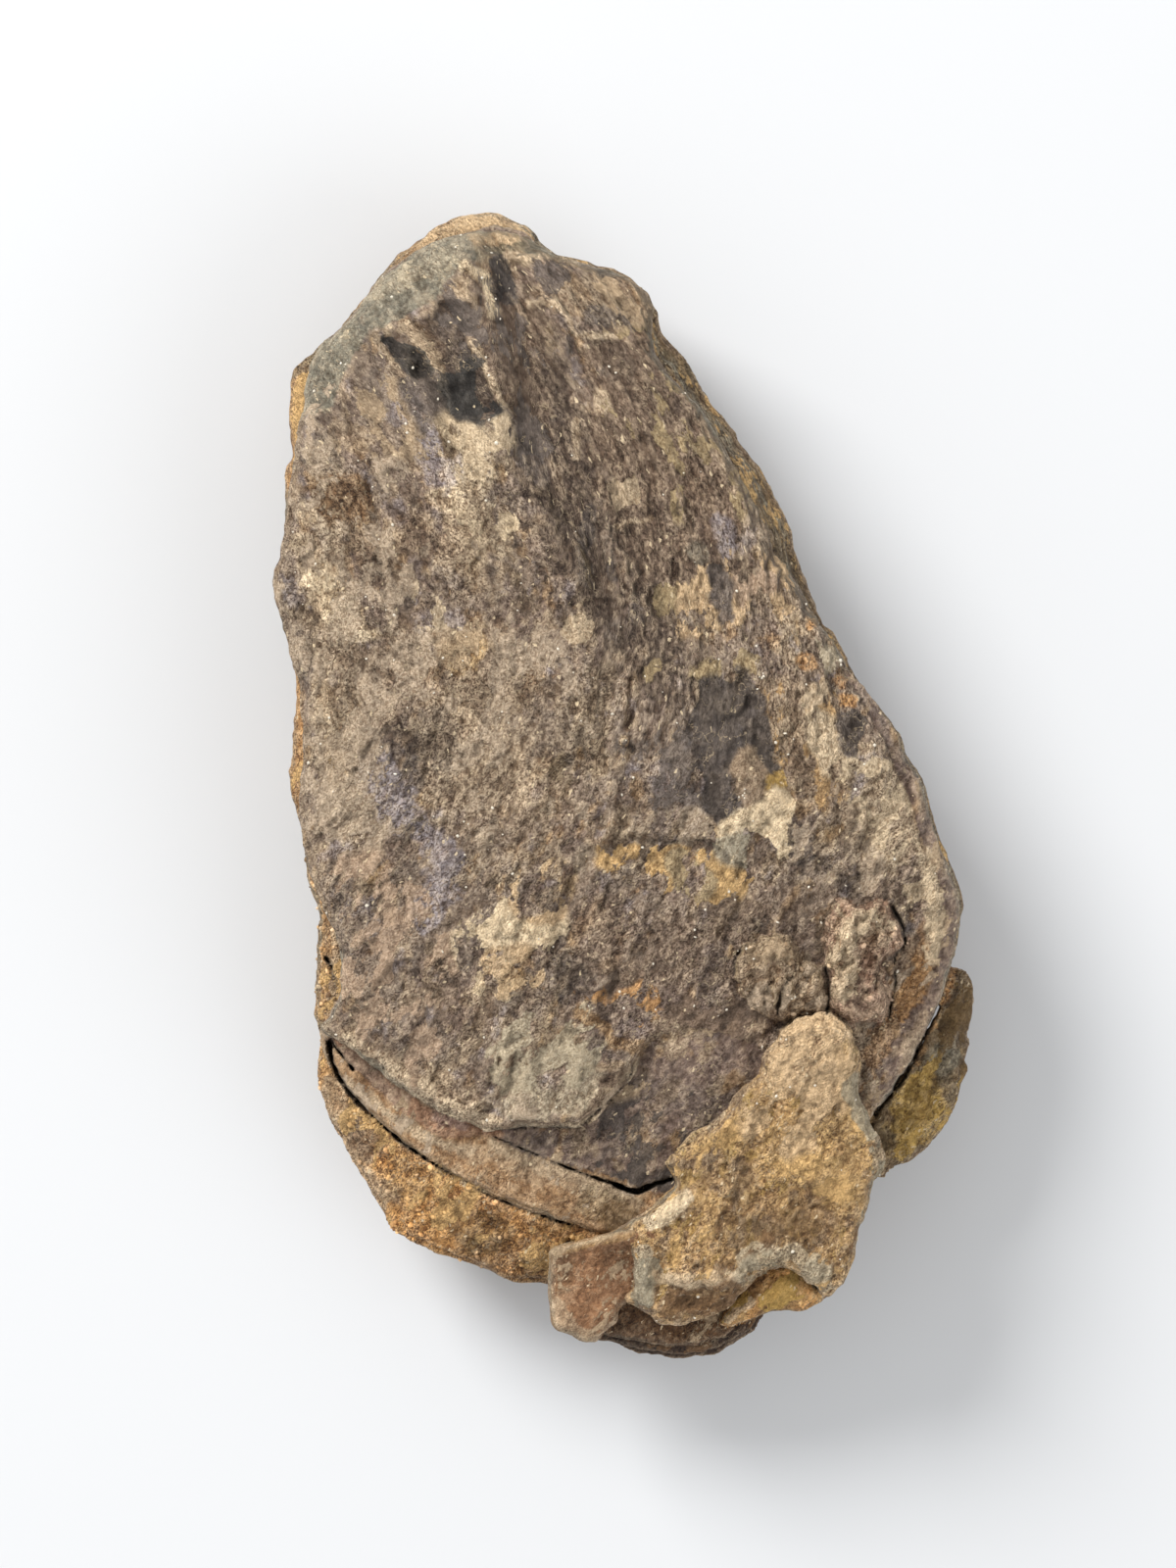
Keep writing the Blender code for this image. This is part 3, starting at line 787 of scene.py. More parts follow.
def merge_flat_faces(piece):
    hidden = hidden_points(piece)
    group = piece.vertex_groups.new(name="hidden")
    group.add(np.flatnonzero(hidden).tolist(), 1.0, "REPLACE")
    share = hidden.mean()
    thinned(piece, 1 - share * (1 - HIDDEN_SHARE), "hidden")
    thinned(piece, MOST_TRIANGLES[piece.name] / triangle_count(piece), "")
    piece.vertex_groups.clear()
    print(f"{piece.name}: {triangle_count(piece)} triangles, {share:.0%} of its points were hidden")


for piece, grid in stone_pieces:
    push_grain(piece, grid)
    merge_flat_faces(piece)

# %% [markdown]
# ## Stains
# Iron has stained the shale: ochre and rust where water ran, buff on the ridges and charcoal on
# fresh faces. A blue sheen on fresh faces is painted as well, partly the rock's own tone and
# partly a painted reflection, and a few dark marks are painted shade or shadow, where a crack, a
# facet or an overhang lies in shade. They could be painted by hand, but every stain here is a
# stroke, an oval or an outline on the plan, with its edge broken up by noise, so each can be
# moved or changed by its numbers. All go into one colour attribute of the mesh.

# %% Colours, as they look in daylight
def daylight(red, green, blue):
    """A colour given from 0 to 255, as the linear numbers that shaders use."""
    value = np.array((red, green, blue)) / 255
    return np.where(value <= 0.04045, value / 12.92, ((value + 0.055) / 1.055) ** 2.4)


BROWN_GREY = daylight(150, 132, 114)
WARM_BROWN = daylight(162, 140, 114)
DARK_BROWN = daylight(122, 102, 84)
DEEP_BROWN = daylight(96, 80, 67)
PURPLE_BROWN = daylight(130, 110, 98)
SLATE = daylight(112, 102, 95)
CHARCOAL = daylight(78, 71, 67)
# The next colour is painted shade for the floors of the two pits.
PIT_SHADE = daylight(60, 61, 60)
GREY_GREEN = daylight(134, 131, 114)
TAN_GREY = daylight(188, 169, 145)
PALE_GREEN = daylight(190, 177, 150)
OLIVE = daylight(134, 115, 82)
DARK_OLIVE = daylight(112, 88, 50)
BUFF = daylight(208, 186, 154)
PALE_BUFF = daylight(216, 195, 162)
CREAM = daylight(244, 222, 184)
TAN = daylight(186, 163, 132)
OLIVE_BUFF = daylight(172, 152, 114)
OCHRE = daylight(186, 148, 94)
BRIGHT_OCHRE = daylight(218, 180, 120)
YELLOW = daylight(192, 158, 84)
RUST = daylight(120, 90, 58)
ORANGE_RUST = daylight(210, 160, 102)
# The next colour paints a blue-grey sheen: partly the rock's own tone, partly a painted reflection.
LILAC_SHEEN = daylight(156, 149, 154)
PINK_BROWN = daylight(198, 164, 138)
SLAB_OCHRE = daylight(210, 158, 94)
BAND_BROWN = daylight(176, 138, 96)
LEAF_BROWN = daylight(194, 158, 108)
FOOT_BROWN = daylight(154, 112, 76)
SMOOTH_BROWN = daylight(170, 130, 100)
TIP_BUFF = daylight(222, 192, 150)
EARTH = daylight(118, 88, 56)
# The next colour is a deep earth, dark partly as painted shade, for leaves that lie in shade.
SHADED_DEEP_EARTH = daylight(74, 52, 34)
PINK_BUFF = daylight(190, 164, 138)
PALE_BLUE = daylight(170, 161, 138)
SHADE = daylight(38, 31, 25)

# %% The ground colour of every leaf, and two areas of the top bed
# The low and mid under leaves take a deep earth colour that is dark partly as painted shade.
LEAF_COLOURS = {
    "lower slab": OLIVE, "edge bed": BAND_BROWN, "middle bed": PURPLE_BROWN,
    "top bed": BROWN_GREY, "side leaf": OLIVE, "low under leaf": SHADED_DEEP_EARTH,
    "mid under leaf": SHADED_DEEP_EARTH, "high under leaf": EARTH, "knob": SLAB_OCHRE, "foot": FOOT_BROWN,
    "loose leaf": LEAF_BROWN, "left lump": WARM_BROWN, "right lump": PINK_BROWN,
}
DARK_SWEEP = ((-7.6, 33.0), (-3.6, 31.4), (-1.0, 26.0), (1.6, 19.0), (3.4, 13.4), (5.4, 9.4), (4.6, 6.0),
              (1.0, 7.6), (-3.0, 12.4), (-6.6, 17.6), (-8.4, 23.0), (-9.0, 27.6))
GREY_FLOOR = ((1.4, -8.8), (5.4, -9.2), (9.4, -8.0), (13.4, -9.4), (8.4, -12.0), (8.0, -15.4), (2.0, -15.6),
              (-3.6, -14.6), (-4.2, -10.8), (-1.6, -7.8))

# %% Stains on the top bed: the colour, how strong, a shape, and the shape's numbers
TOP_STAINS = (
    (DEEP_BROWN, 0.9, "patch", DARK_SWEEP, 2.8),
    (DARK_BROWN, 0.9, "oval", (3.0, 25.0), (11.0, 22.0), 5.0, 10),
    (DARK_BROWN, 0.7, "patch", GREY_FLOOR, 2.0),
    (DARK_BROWN, 0.8, "patch", NARROW_SHADE, 1.6),
    (PURPLE_BROWN, 0.6, "oval", (2.0, -17.5), (14.0, 5.0), 2.0, -8),
    (PALE_BUFF, 0.5, "stroke", ((-22.6, 20.0), (-21.6, 12.0), (-21.4, 4.0), (-20.4, -2.0)), 2.4, 2.2),
    (WARM_BROWN, 0.5, "oval", (-10.0, 2.0), (11.0, 14.0), 5.0, 0),
    (WARM_BROWN, 0.5, "oval", (-14.0, 8.0), (13.0, 11.0), 5.0, 0),
    (BUFF, 0.4, "oval", (-11.0, 2.5), (9.0, 11.0), 4.0, 20),
    (CREAM, 0.8, "stroke", ((-22.8, 15.4), (-21.6, 13.4), (-20.0, 11.3)), 2.2, 1.2),
    (PALE_BUFF, 0.7, "stroke", ((-11.8, 25.6), (-11.6, 22.0), (-10.6, 18.0)), 2.6, 1.8),
    (CREAM, 0.6, "oval", (-13.6, 21.4), (2.4, 1.8), 1.0, 0),
    (TAN, 0.6, "oval", (-12.0, 18.0), (4.0, 6.0), 2.4, 0),
    (RUST, 0.9, "oval", (-21.2, 21.5), (4.6, 4.2), 2.0, 0),
    (RUST, 0.4, "oval", (-17.5, 17.5), (6.0, 7.0), 3.0, 0),
    (TAN, 0.6, "oval", (-20.4, 26.0), (3.2, 2.0), 1.4, -30),
    (LILAC_SHEEN, 0.5, "oval", (-14.0, 24.5), (3.0, 5.5), 2.0, 25),
    (LILAC_SHEEN, 0.4, "oval", (-16.5, 28.0), (3.0, 2.4), 1.6, 0),
    (CHARCOAL, 0.5, "oval", (-22.5, 25.0), (3.0, 3.2), 1.8, 0),
    (LILAC_SHEEN, 0.4, "oval", (-13.5, 12.0), (4.0, 3.0), 2.0, 0),
    (BRIGHT_OCHRE, 0.6, "oval", (-11.8, 10.0), (3.0, 3.2), 1.8, 0),
    (CHARCOAL, 0.5, "oval", (-15.5, 3.0), (7.0, 5.0), 2.6, 30),
    (CHARCOAL, 0.35, "oval", (-6.0, 4.0), (6.0, 4.0), 2.6, -20),
    (LILAC_SHEEN, 0.7, "stroke", ((-19.0, 1.0), (-17.6, -1.0), (-15.6, -2.6)), 2.2, 1.9),
    (LILAC_SHEEN, 0.75, "stroke", ((-14.6, -4.0), (-13.5, -6.0), (-14.0, -8.0), (-15.0, -9.4)), 1.6, 1.7),
    (BUFF, 0.7, "stroke", ((-22.2, 6.0), (-21.5, 4.0), (-21.2, 1.0), (-22.0, -1.4)), 1.5, 1.2),
    (BRIGHT_OCHRE, 0.5, "stroke", ((-22.0, 3.0), (-21.4, 0.6)), 0.8, 0.9),
    (BRIGHT_OCHRE, 0.5, "oval", (-8.4, -14.4), (1.8, 2.0), 0.8, 0),
    (BRIGHT_OCHRE, 0.5, "oval", (-6.8, -10.8), (2.0, 1.6), 1.0, 0),
    (TAN, 0.7, "oval", (-8.2, -5.0), (1.6, 1.2), 0.8, 0),
    # Painted shadow along the right side of the buff ridge.
    (DARK_BROWN, 0.9, "stroke", ((-5.2, -9.4), (-5.6, -12.2), (-6.6, -14.2), (-7.0, -16.0)), 0.6, 0.4),
    (BUFF, 0.8, "stroke", ((-0.8, 19.3), (0.3, 19.6), (2.0, 19.9)), 0.2, 0.25),
    (CHARCOAL, 0.7, "stroke", ((-2.8, 20.4), (-3.0, 17.6), (-2.9, 15.0)), 0.8, 0.5),
    (CHARCOAL, 0.7, "stroke", ((-1.4, 19.4), (-1.3, 17.6), (-1.1, 15.4)), 0.6, 0.5),
    (CHARCOAL, 0.6, "stroke", ((0.7, 14.0), (0.8, 12.4)), 0.6, 0.5),
    (OLIVE, 0.6, "oval", (-5.0, 1.3), (1.2, 1.6), 0.6, 0),
    (LILAC_SHEEN, 0.4, "oval", (2.8, 0.6), (1.6, 2.6), 0.8, 0),
    (OCHRE, 0.6, "stroke", ((-3.3, -17.0), (-1.6, -18.0), (-0.8, -19.2), (1.5, -19.6)), 0.6, 0.7),
    (BUFF, 0.7, "stroke", ((2.4, -17.5), (4.2, -18.0), (6.4, -18.8)), 0.3, 0.4),
    (TAN, 0.5, "stroke", ((-10.6, -15.6), (-10.4, -18.4), (-9.2, -20.4)), 1.0, 1.0),
    (TAN, 0.5, "stroke", ((-20.2, -18.6), (-16.0, -21.4), (-12.0, -23.2)), 1.2, 1.2),
    (PALE_GREEN, 0.7, "stroke", ((-8.4, -24.0), (-5.6, -23.6), (-3.4, -23.0), (-2.2, -21.6)), 2.2, 0.8),
    # Painted shade on the lobe's facet, which faces away from the light.
    (DARK_BROWN, 0.95, "area", LOBE_FACET, -0.1, 0.15),
    (TAN, 0.9, "stroke", ((-2.6, -20.8), (-1.4, -20.9), (-0.2, -20.7)), 0.3, 0.3),
    (TAN, 0.9, "oval", (-1.0, -22.8), (0.7, 0.9), 0.3, 0),
    (BUFF, 0.8, "stroke", ((-20.6, -19.2), (-18.0, -20.8), (-15.0, -22.8), (-12.0, -24.3),
     (-10.2, -25.0)), 1.1, 0.8),
    (BUFF, 0.6, "stroke", LOBE_LIP, 0.5, 0.6),
    (BUFF, 0.7, "stroke", ((11.4, 12.4), (12.4, 12.4), (13.4, 11.4)), 0.3, 0.3),
    (WARM_BROWN, 0.8, "patch", BROWN_SHOULDER, 0.9),
    (TAN, 0.6, "oval", (12.2, 4.6), (2.8, 2.6), 1.4, 0),
    (YELLOW, 0.7, "oval", (11.2, 0.2), (1.0, 0.8), 0.4, 0),
    (BUFF, 0.85, "stroke", ((14.0, 4.8), (14.9, 3.6), (16.2, 2.2), (17.6, 1.5), (19.6, 1.4)), 0.45, 0.4),
    (BUFF, 0.8, "stroke", ((14.1, 4.9), (15.6, 4.1), (16.5, 2.9)), 0.35, 0.35),
    (BUFF, 0.8, "stroke", ((14.4, 3.6), (15.2, 2.2), (16.6, 1.0)), 0.3, 0.3),
    (PALE_BUFF, 0.6, "oval", (18.6, 1.4), (3.0, 1.2), 0.8, -8),
    (ORANGE_RUST, 0.95, "oval", (16.7, 6.4), (1.2, 1.1), 0.4, 0),
    (ORANGE_RUST, 0.7, "oval", (13.5, 9.3), (1.8, 1.1), 0.6, 0),
    (ORANGE_RUST, 0.8, "oval", (13.8, 12.2), (0.9, 0.8), 0.4, 0),
    (ORANGE_RUST, 0.6, "oval", (16.1, 7.9), (1.0, 1.0), 0.5, 0),
    # Painted shadow under the edge at the top of the ochre band.
    (SHADE, 0.6, "stroke", ((1.4, -4.1), (3.4, -4.25), (5.4, -4.15), (6.6, -4.6)), 0.1, 0.25),
    (BRIGHT_OCHRE, 0.6, "oval", (11.0, -0.9), (1.2, 0.8), 0.5, 0),
    (CREAM, 1.0, "oval", (-0.1, 3.4), (0.7, 0.7), 0.15, 0),
    # Painted shadow to the lower right of the small white lump.
    (SHADE, 0.6, "oval", (0.35, 2.9), (0.7, 0.4), 0.2, 0),
    # Painted shadow in the short upright crack.
    (DARK_BROWN, 0.9, "stroke", ((0.3, 8.0), (0.3, 6.3), (0.1, 4.6)), 0.4, 0.4),
    (CHARCOAL, 0.55, "oval", (13.0, -4.6), (2.0, 3.4), 1.0, 0),
    (CHARCOAL, 0.45, "oval", (17.2, -7.2), (3.4, 2.2), 1.4, 0),
    (BUFF, 0.7, "oval", (19.6, -2.4), (4.4, 8.0), 2.4, 10),
    (BAND_BROWN, 0.7, "patch", ((20.2, -11.4), (24.6, -9.4), (24.6, -12.6), (22.4, -17.0), (19.4, -22.4),
                                (18.0, -24.0), (17.4, -21.0), (19.0, -17.6), (19.8, -14.0)), 1.2),
    (SLAB_OCHRE, 0.5, "oval", (21.9, -15.0), (3.4, 7.0), 2.2, -22),
    (PALE_BUFF, 0.8, "stroke", ((21.6, -1.4), (22.9, -5.0), (23.8, -8.4), (23.6, -11.4)), 2.0, 1.2),
    (CHARCOAL, 0.6, "stroke", ((20.8, -9.8), (21.2, -12.0), (20.4, -14.4)), 0.9, 0.6),
    (CHARCOAL, 0.4, "stroke", ((-5.6, -8.0), (-5.2, -12.0), (-3.4, -14.6)), 1.4, 1.2),
    (RUST, 0.5, "oval", (4.5, 36.0), (12.0, 8.0), 3.0, -30),
    (TAN, 0.6, "oval", (-3.0, 36.6), (9.0, 3.4), 2.0, -18),
    (TAN, 0.5, "oval", (7.6, 24.6), (2.0, 7.0), 1.4, 24),
    (LILAC_SHEEN, 0.6, "oval", (7.4, 18.8), (1.7, 3.4), 0.8, 10),
    (GREY_GREEN, 0.5, "oval", (5.2, 17.4), (1.6, 1.8), 0.8, 0),
)

# %% Stains on the narrow end and round the two pits
BEVEL_STAINS = (
    (GREY_GREEN, 0.9, "area", BEVEL, -0.1, 0.4),
    (OLIVE, 0.6, "oval", (-8.6, 40.4), (5.0, 3.4), 1.0, 0),
    (TIP_BUFF, 0.8, "oval", (-9.8, 41.4), (4.2, 2.0), 0.8, 0),
    (PALE_GREEN, 0.4, "stroke", ((-18.5, 37.0), (-15.5, 38.4), (-12.5, 40.0)), 1.0, 0.9),
    (CHARCOAL, 0.55, "patch", VALLEY, 0.5),
    (DARK_OLIVE, 0.8, "stroke", PIT_GROOVE, 0.8, 0.6),
    (TAN, 0.9, "stroke", PIT_RIB, 0.9, 0.5),
    (TAN, 0.8, "patch", ((-13.5, 37.9), (-12.2, 38.2), (-11.0, 36.0), (-12.6, 36.4)), 0.5),
    (BUFF, 0.9, "stroke", ((-11.3, 32.9), (-10.4, 30.9), (-9.4, 28.9), (-8.6, 27.9)), 0.3, 0.3),
    (CREAM, 1.0, "stroke", ((-12.3, 38.8), (-10.6, 38.0), (-10.1, 36.8), (-9.9, 35.2)), 0.8, 0.4),
    (BUFF, 0.8, "stroke", NARROW_LIP, 0.3, 0.3),
    (SLATE, 0.8, "oval", (-1.0, 34.9), (4.6, 1.8), 0.5, -8),
    (SLATE, 0.8, "stroke", SHORT_GROOVE, 0.5, 0.3),
    (BUFF, 0.7, "oval", (-1.7, 28.6), (1.4, 2.0), 0.6, 10),
    (BUFF, 0.6, "stroke", ((-3.7, 27.2), (-3.6, 24.4)), 0.5, 0.5),
    (SLATE, 0.7, "stroke", ((-9.4, 27.2), (-8.0, 25.4), (-6.3, 23.0)), 1.6, 0.6),
    (CHARCOAL, 0.9, "stroke", ((-9.4, 39.2), (-9.0, 38.0), (-8.8, 36.6)), 1.2, 0.5),
    (PURPLE_BROWN, 0.8, "oval", (-5.4, 38.4), (2.6, 2.0), 0.6, 0),
    (BUFF, 0.9, "stroke", ((-8.6, 39.7), (-6.0, 39.6), (-3.6, 39.4)), 0.6, 0.4),
)

# %% Stains on the broken beds and the lower slab
EDGE_STAINS = (
    (PALE_GREEN, 0.5, "stroke", ((-9.8, -26.8), (-7.0, -28.1), (-3.2, -29.6), (-0.4, -30.7),
     (1.0, -31.3)), 0.9, 0.6),
    (PALE_BUFF, 0.7, "stroke", ((-20.8, -22.3), (-18.7, -23.8), (-14.6, -26.5),
     (-11.6, -27.1)), 0.6, 0.5),
    (TAN, 0.5, "stroke", ((-11.6, -27.1), (-6.4, -29.0), (-2.0, -30.6)), 1.0, 1.0),
    (OLIVE, 0.6, "oval", (-1.4, -31.8), (5.0, 2.6), 1.2, -20),
)
MIDDLE_STAINS = (
    (SMOOTH_BROWN, 1.0, "stroke", ((-21.4, -19.6), (-18.6, -22.6), (-14.6, -25.4),
     (-10.4, -26.2)), 2.6, 0.3),
    (LILAC_SHEEN, 0.3, "stroke", ((-13.8, -24.6), (-12.2, -25.4)), 0.8, 0.5),
    (BROWN_GREY, 0.6, "stroke", ((-20.8, -20.0), (-18.6, -22.0), (-16.8, -23.4)), 1.2, 0.6),
    (TAN, 0.7, "oval", (-0.4, -28.4), (1.0, 0.8), 0.4, 0),
    (TAN, 0.4, "stroke", ((3.4, -22.6), (2.0, -24.8), (0.6, -26.0)), 0.9, 0.8),
    # Painted shade in the crevice at the middle bed's broken edge.
    (CHARCOAL, 0.6, "stroke", ((-0.8, -29.4), (1.2, -29.9), (3.2, -29.0)), 0.9, 0.6),
)
SLAB_STAINS = (
    (SLAB_OCHRE, 1.0, "area", CRESCENT_AREA, -0.2, 0.3),
    (RUST, 0.5, "oval", (-7.0, -36.4), (12.0, 4.0), 2.0, -12),
    (BUFF, 0.6, "stroke", ((-21.8, -23.0), (-20.6, -27.2), (-18.4, -31.0)), 1.6, 1.2),
    (DARK_BROWN, 0.6, "oval", (-19.6, -26.6), (2.6, 3.6), 1.4, 25),
    (DARK_OLIVE, 0.6, "oval", (-11.0, -33.4), (5.0, 3.2), 1.6, -20),
    (ORANGE_RUST, 0.6, "oval", (-9.0, -32.0), (5.0, 1.6), 0.9, -25),
    (BRIGHT_OCHRE, 0.4, "oval", (-16.4, -29.6), (4.0, 3.0), 1.4, -30),
    (ORANGE_RUST, 0.9, "stroke", ((-24.9, 30.0), (-25.2, 26.0), (-25.4, 22.0)), 1.6, 0.5),
    (ORANGE_RUST, 0.9, "stroke", ((-24.8, 9.0), (-24.5, 5.0), (-24.8, 1.0), (-24.2, -2.0)), 1.6, 0.5),
    (ORANGE_RUST, 0.7, "stroke", ((-23.4, -7.0), (-22.4, -10.0), (-22.2, -14.0),
     (-22.6, -17.0)), 1.6, 0.6),
    (BUFF, 0.6, "stroke", ((-21.8, -10.0), (-21.6, -13.0), (-22.0, -17.0)), 0.7, 0.5),
    (EARTH, 0.9, "oval", (-22.2, -14.7), (0.9, 1.3), 0.4, 20),
    (ORANGE_RUST, 0.6, "stroke", ((-20.0, 36.6), (-16.0, 40.4), (-12.0, 42.4), (-9.0, 42.6)), 1.8, 0.8),
    (TIP_BUFF, 0.8, "stroke", ((-12.6, 42.4), (-9.0, 42.8), (-7.0, 42.0)), 1.2, 0.6),
    (DARK_OLIVE, 0.6, "stroke", ((9.6, 23.6), (12.0, 18.0), (14.0, 13.4), (17.0, 8.0)), 1.0, 0.7),
)

# %% Stains on the loose leaf, the foot, the side leaf, the knob and the lumps
LOOSE_STAINS = (
    (TIP_BUFF, 0.9, "oval", (13.9, -19.4), (6.0, 7.0), 2.4, 0),
    (BRIGHT_OCHRE, 0.6, "stroke", ((16.8, -20.0), (16.6, -23.0), (17.4, -26.6)), 1.6, 1.4),
    (BRIGHT_OCHRE, 0.6, "oval", (12.6, -26.6), (5.4, 4.4), 2.6, 30),
    (BRIGHT_OCHRE, 0.7, "oval", (15.4, -28.4), (5.0, 6.0), 2.4, 0),
    (DARK_BROWN, 0.3, "oval", (7.6, -28.9), (4.4, 3.2), 1.8, -20),
    (EARTH, 0.5, "oval", (13.6, -32.2), (5.4, 4.0), 2.2, 20),
    (DARK_OLIVE, 0.4, "oval", (11.0, -33.6), (8.0, 3.4), 2.0, 0),
    (BRIGHT_OCHRE, 0.7, "oval", (16.3, -30.2), (2.6, 3.6), 1.4, 0),
    (CREAM, 1.0, "stroke", ((2.0, -32.6), (3.2, -31.9), (4.6, -30.8)), 1.1, 0.5),
    (PALE_GREEN, 0.8, "stroke", ((1.3, -35.0), (1.3, -36.6), (1.5, -38.3)), 1.1, 0.8),
    (BUFF, 0.6, "stroke", ((3.8, -36.7), (6.0, -37.0), (8.4, -36.7)), 0.8, 0.8),
    (PALE_GREEN, 0.7, "stroke", ((9.0, -35.3), (11.4, -34.9), (13.6, -35.8), (15.2, -37.2)), 1.2, 0.9),
    # Darker brown on the lower side of the rolled rim, partly the leaf's brown and partly painted shade.
    (EARTH, 0.7, "oval", (5.2, -38.8), (4.8, 1.6), 1.0, -8),
    (PALE_GREEN, 0.7, "stroke", ((17.2, -21.6), (18.0, -24.0), (18.9, -26.6), (18.6, -28.4)), 0.5, 0.4),
)
FOOT_STAINS = (
    (EARTH, 0.5, "stroke", ((-4.6, -35.2), (-4.8, -37.4)), 1.0, 0.8),
    (TAN, 0.6, "stroke", ((-5.2, -38.6), (-4.2, -40.8), (-2.6, -41.3)), 1.0, 0.8),
    (OCHRE, 0.7, "stroke", ((-5.4, -34.9), (-3.0, -34.0), (0.0, -33.4)), 0.8, 0.6),
)
SIDE_LEAF_STAINS = (
    (YELLOW, 1.0, "oval", (22.0, -24.2), (4.6, 5.4), 2.0, 0),
    # A deep earth patch on the outer side leaf, dark partly as painted shade.
    (SHADED_DEEP_EARTH, 0.7, "oval", (25.2, -16.6), (3.0, 7.0), 1.8, 0),
    (GREY_GREEN, 0.6, "oval", (23.8, -20.4), (2.8, 2.6), 1.2, 0),
    (DARK_OLIVE, 0.5, "oval", (24.6, -24.6), (2.0, 3.0), 1.4, 0),
    (ORANGE_RUST, 0.8, "stroke", ((24.8, -13.8), (23.2, -17.6), (21.6, -20.8)), 0.5, 0.4),
)
KNOB_STAINS = (
    # Painted shadow under the loose leaf's edge.
    (EARTH, 0.6, "oval", (9.4, -37.6), (2.0, 2.6), 1.0, -30),
    (BRIGHT_OCHRE, 0.5, "oval", (12.6, -37.8), (2.4, 2.2), 1.0, 0),
    (BUFF, 0.7, "stroke", ((7.6, -40.0), (8.8, -39.0), (9.4, -38.6)), 0.6, 0.4),
)
LUMP_STAINS = (
    (TAN, 0.7, "oval", (9.9, -11.8), (3.4, 1.6), 1.0, -10),
    (BUFF, 0.5, "oval", (12.4, -15.2), (2.0, 3.0), 1.0, 0),
    (BUFF, 0.6, "oval", (16.4, -11.6), (2.0, 3.6), 1.2, 0),
    (DARK_BROWN, 0.6, "oval", (17.0, -15.6), (2.4, 3.0), 1.2, 0),
    (TAN, 0.6, "oval", (18.6, -10.6), (2.6, 3.0), 1.2, 0),
)

# %% Which stains go on which leaf
STAINS = (
    ("top bed", TOP_STAINS), ("top bed", BEVEL_STAINS), ("edge bed", EDGE_STAINS),
    ("middle bed", MIDDLE_STAINS), ("lower slab", SLAB_STAINS), ("loose leaf", LOOSE_STAINS),
    ("foot", FOOT_STAINS), ("side leaf", SIDE_LEAF_STAINS), ("knob", KNOB_STAINS),
    ("left lump", LUMP_STAINS), ("right lump", LUMP_STAINS),
)
print(f"{sum(len(stains) for _, stains in STAINS)} stains")

# %% [markdown]
# ## Crusts
# A crust is a thin skin of another mineral, such as lime or iron, that has flaked off in places.
# It could be one more stain, but its edge is as fine as the grain, far finer than the mesh. So
# the mesh only holds a second colour, and in its fourth number how much of the ground the crust
# covers. The material breaks the crust up into flakes that cover that much.

# %% The thin crust of every leaf: its colour, and how much of the ground it covers
LEAF_CRUSTS = {
    "lower slab": (BRIGHT_OCHRE, 0.36), "edge bed": (TAN_GREY, 0.2), "middle bed": (TAN, 0.2),
    "top bed": (TAN_GREY, 0.3), "side leaf": (YELLOW, 0.36), "low under leaf": (SHADED_DEEP_EARTH, 0.2),
    "mid under leaf": (EARTH, 0.4), "high under leaf": (TAN, 0.3), "knob": (YELLOW, 0.4),
    "foot": (TAN, 0.25), "loose leaf": (BRIGHT_OCHRE, 0.42), "left lump": (TAN_GREY, 0.4),
    "right lump": (PINK_BUFF, 0.42),
}

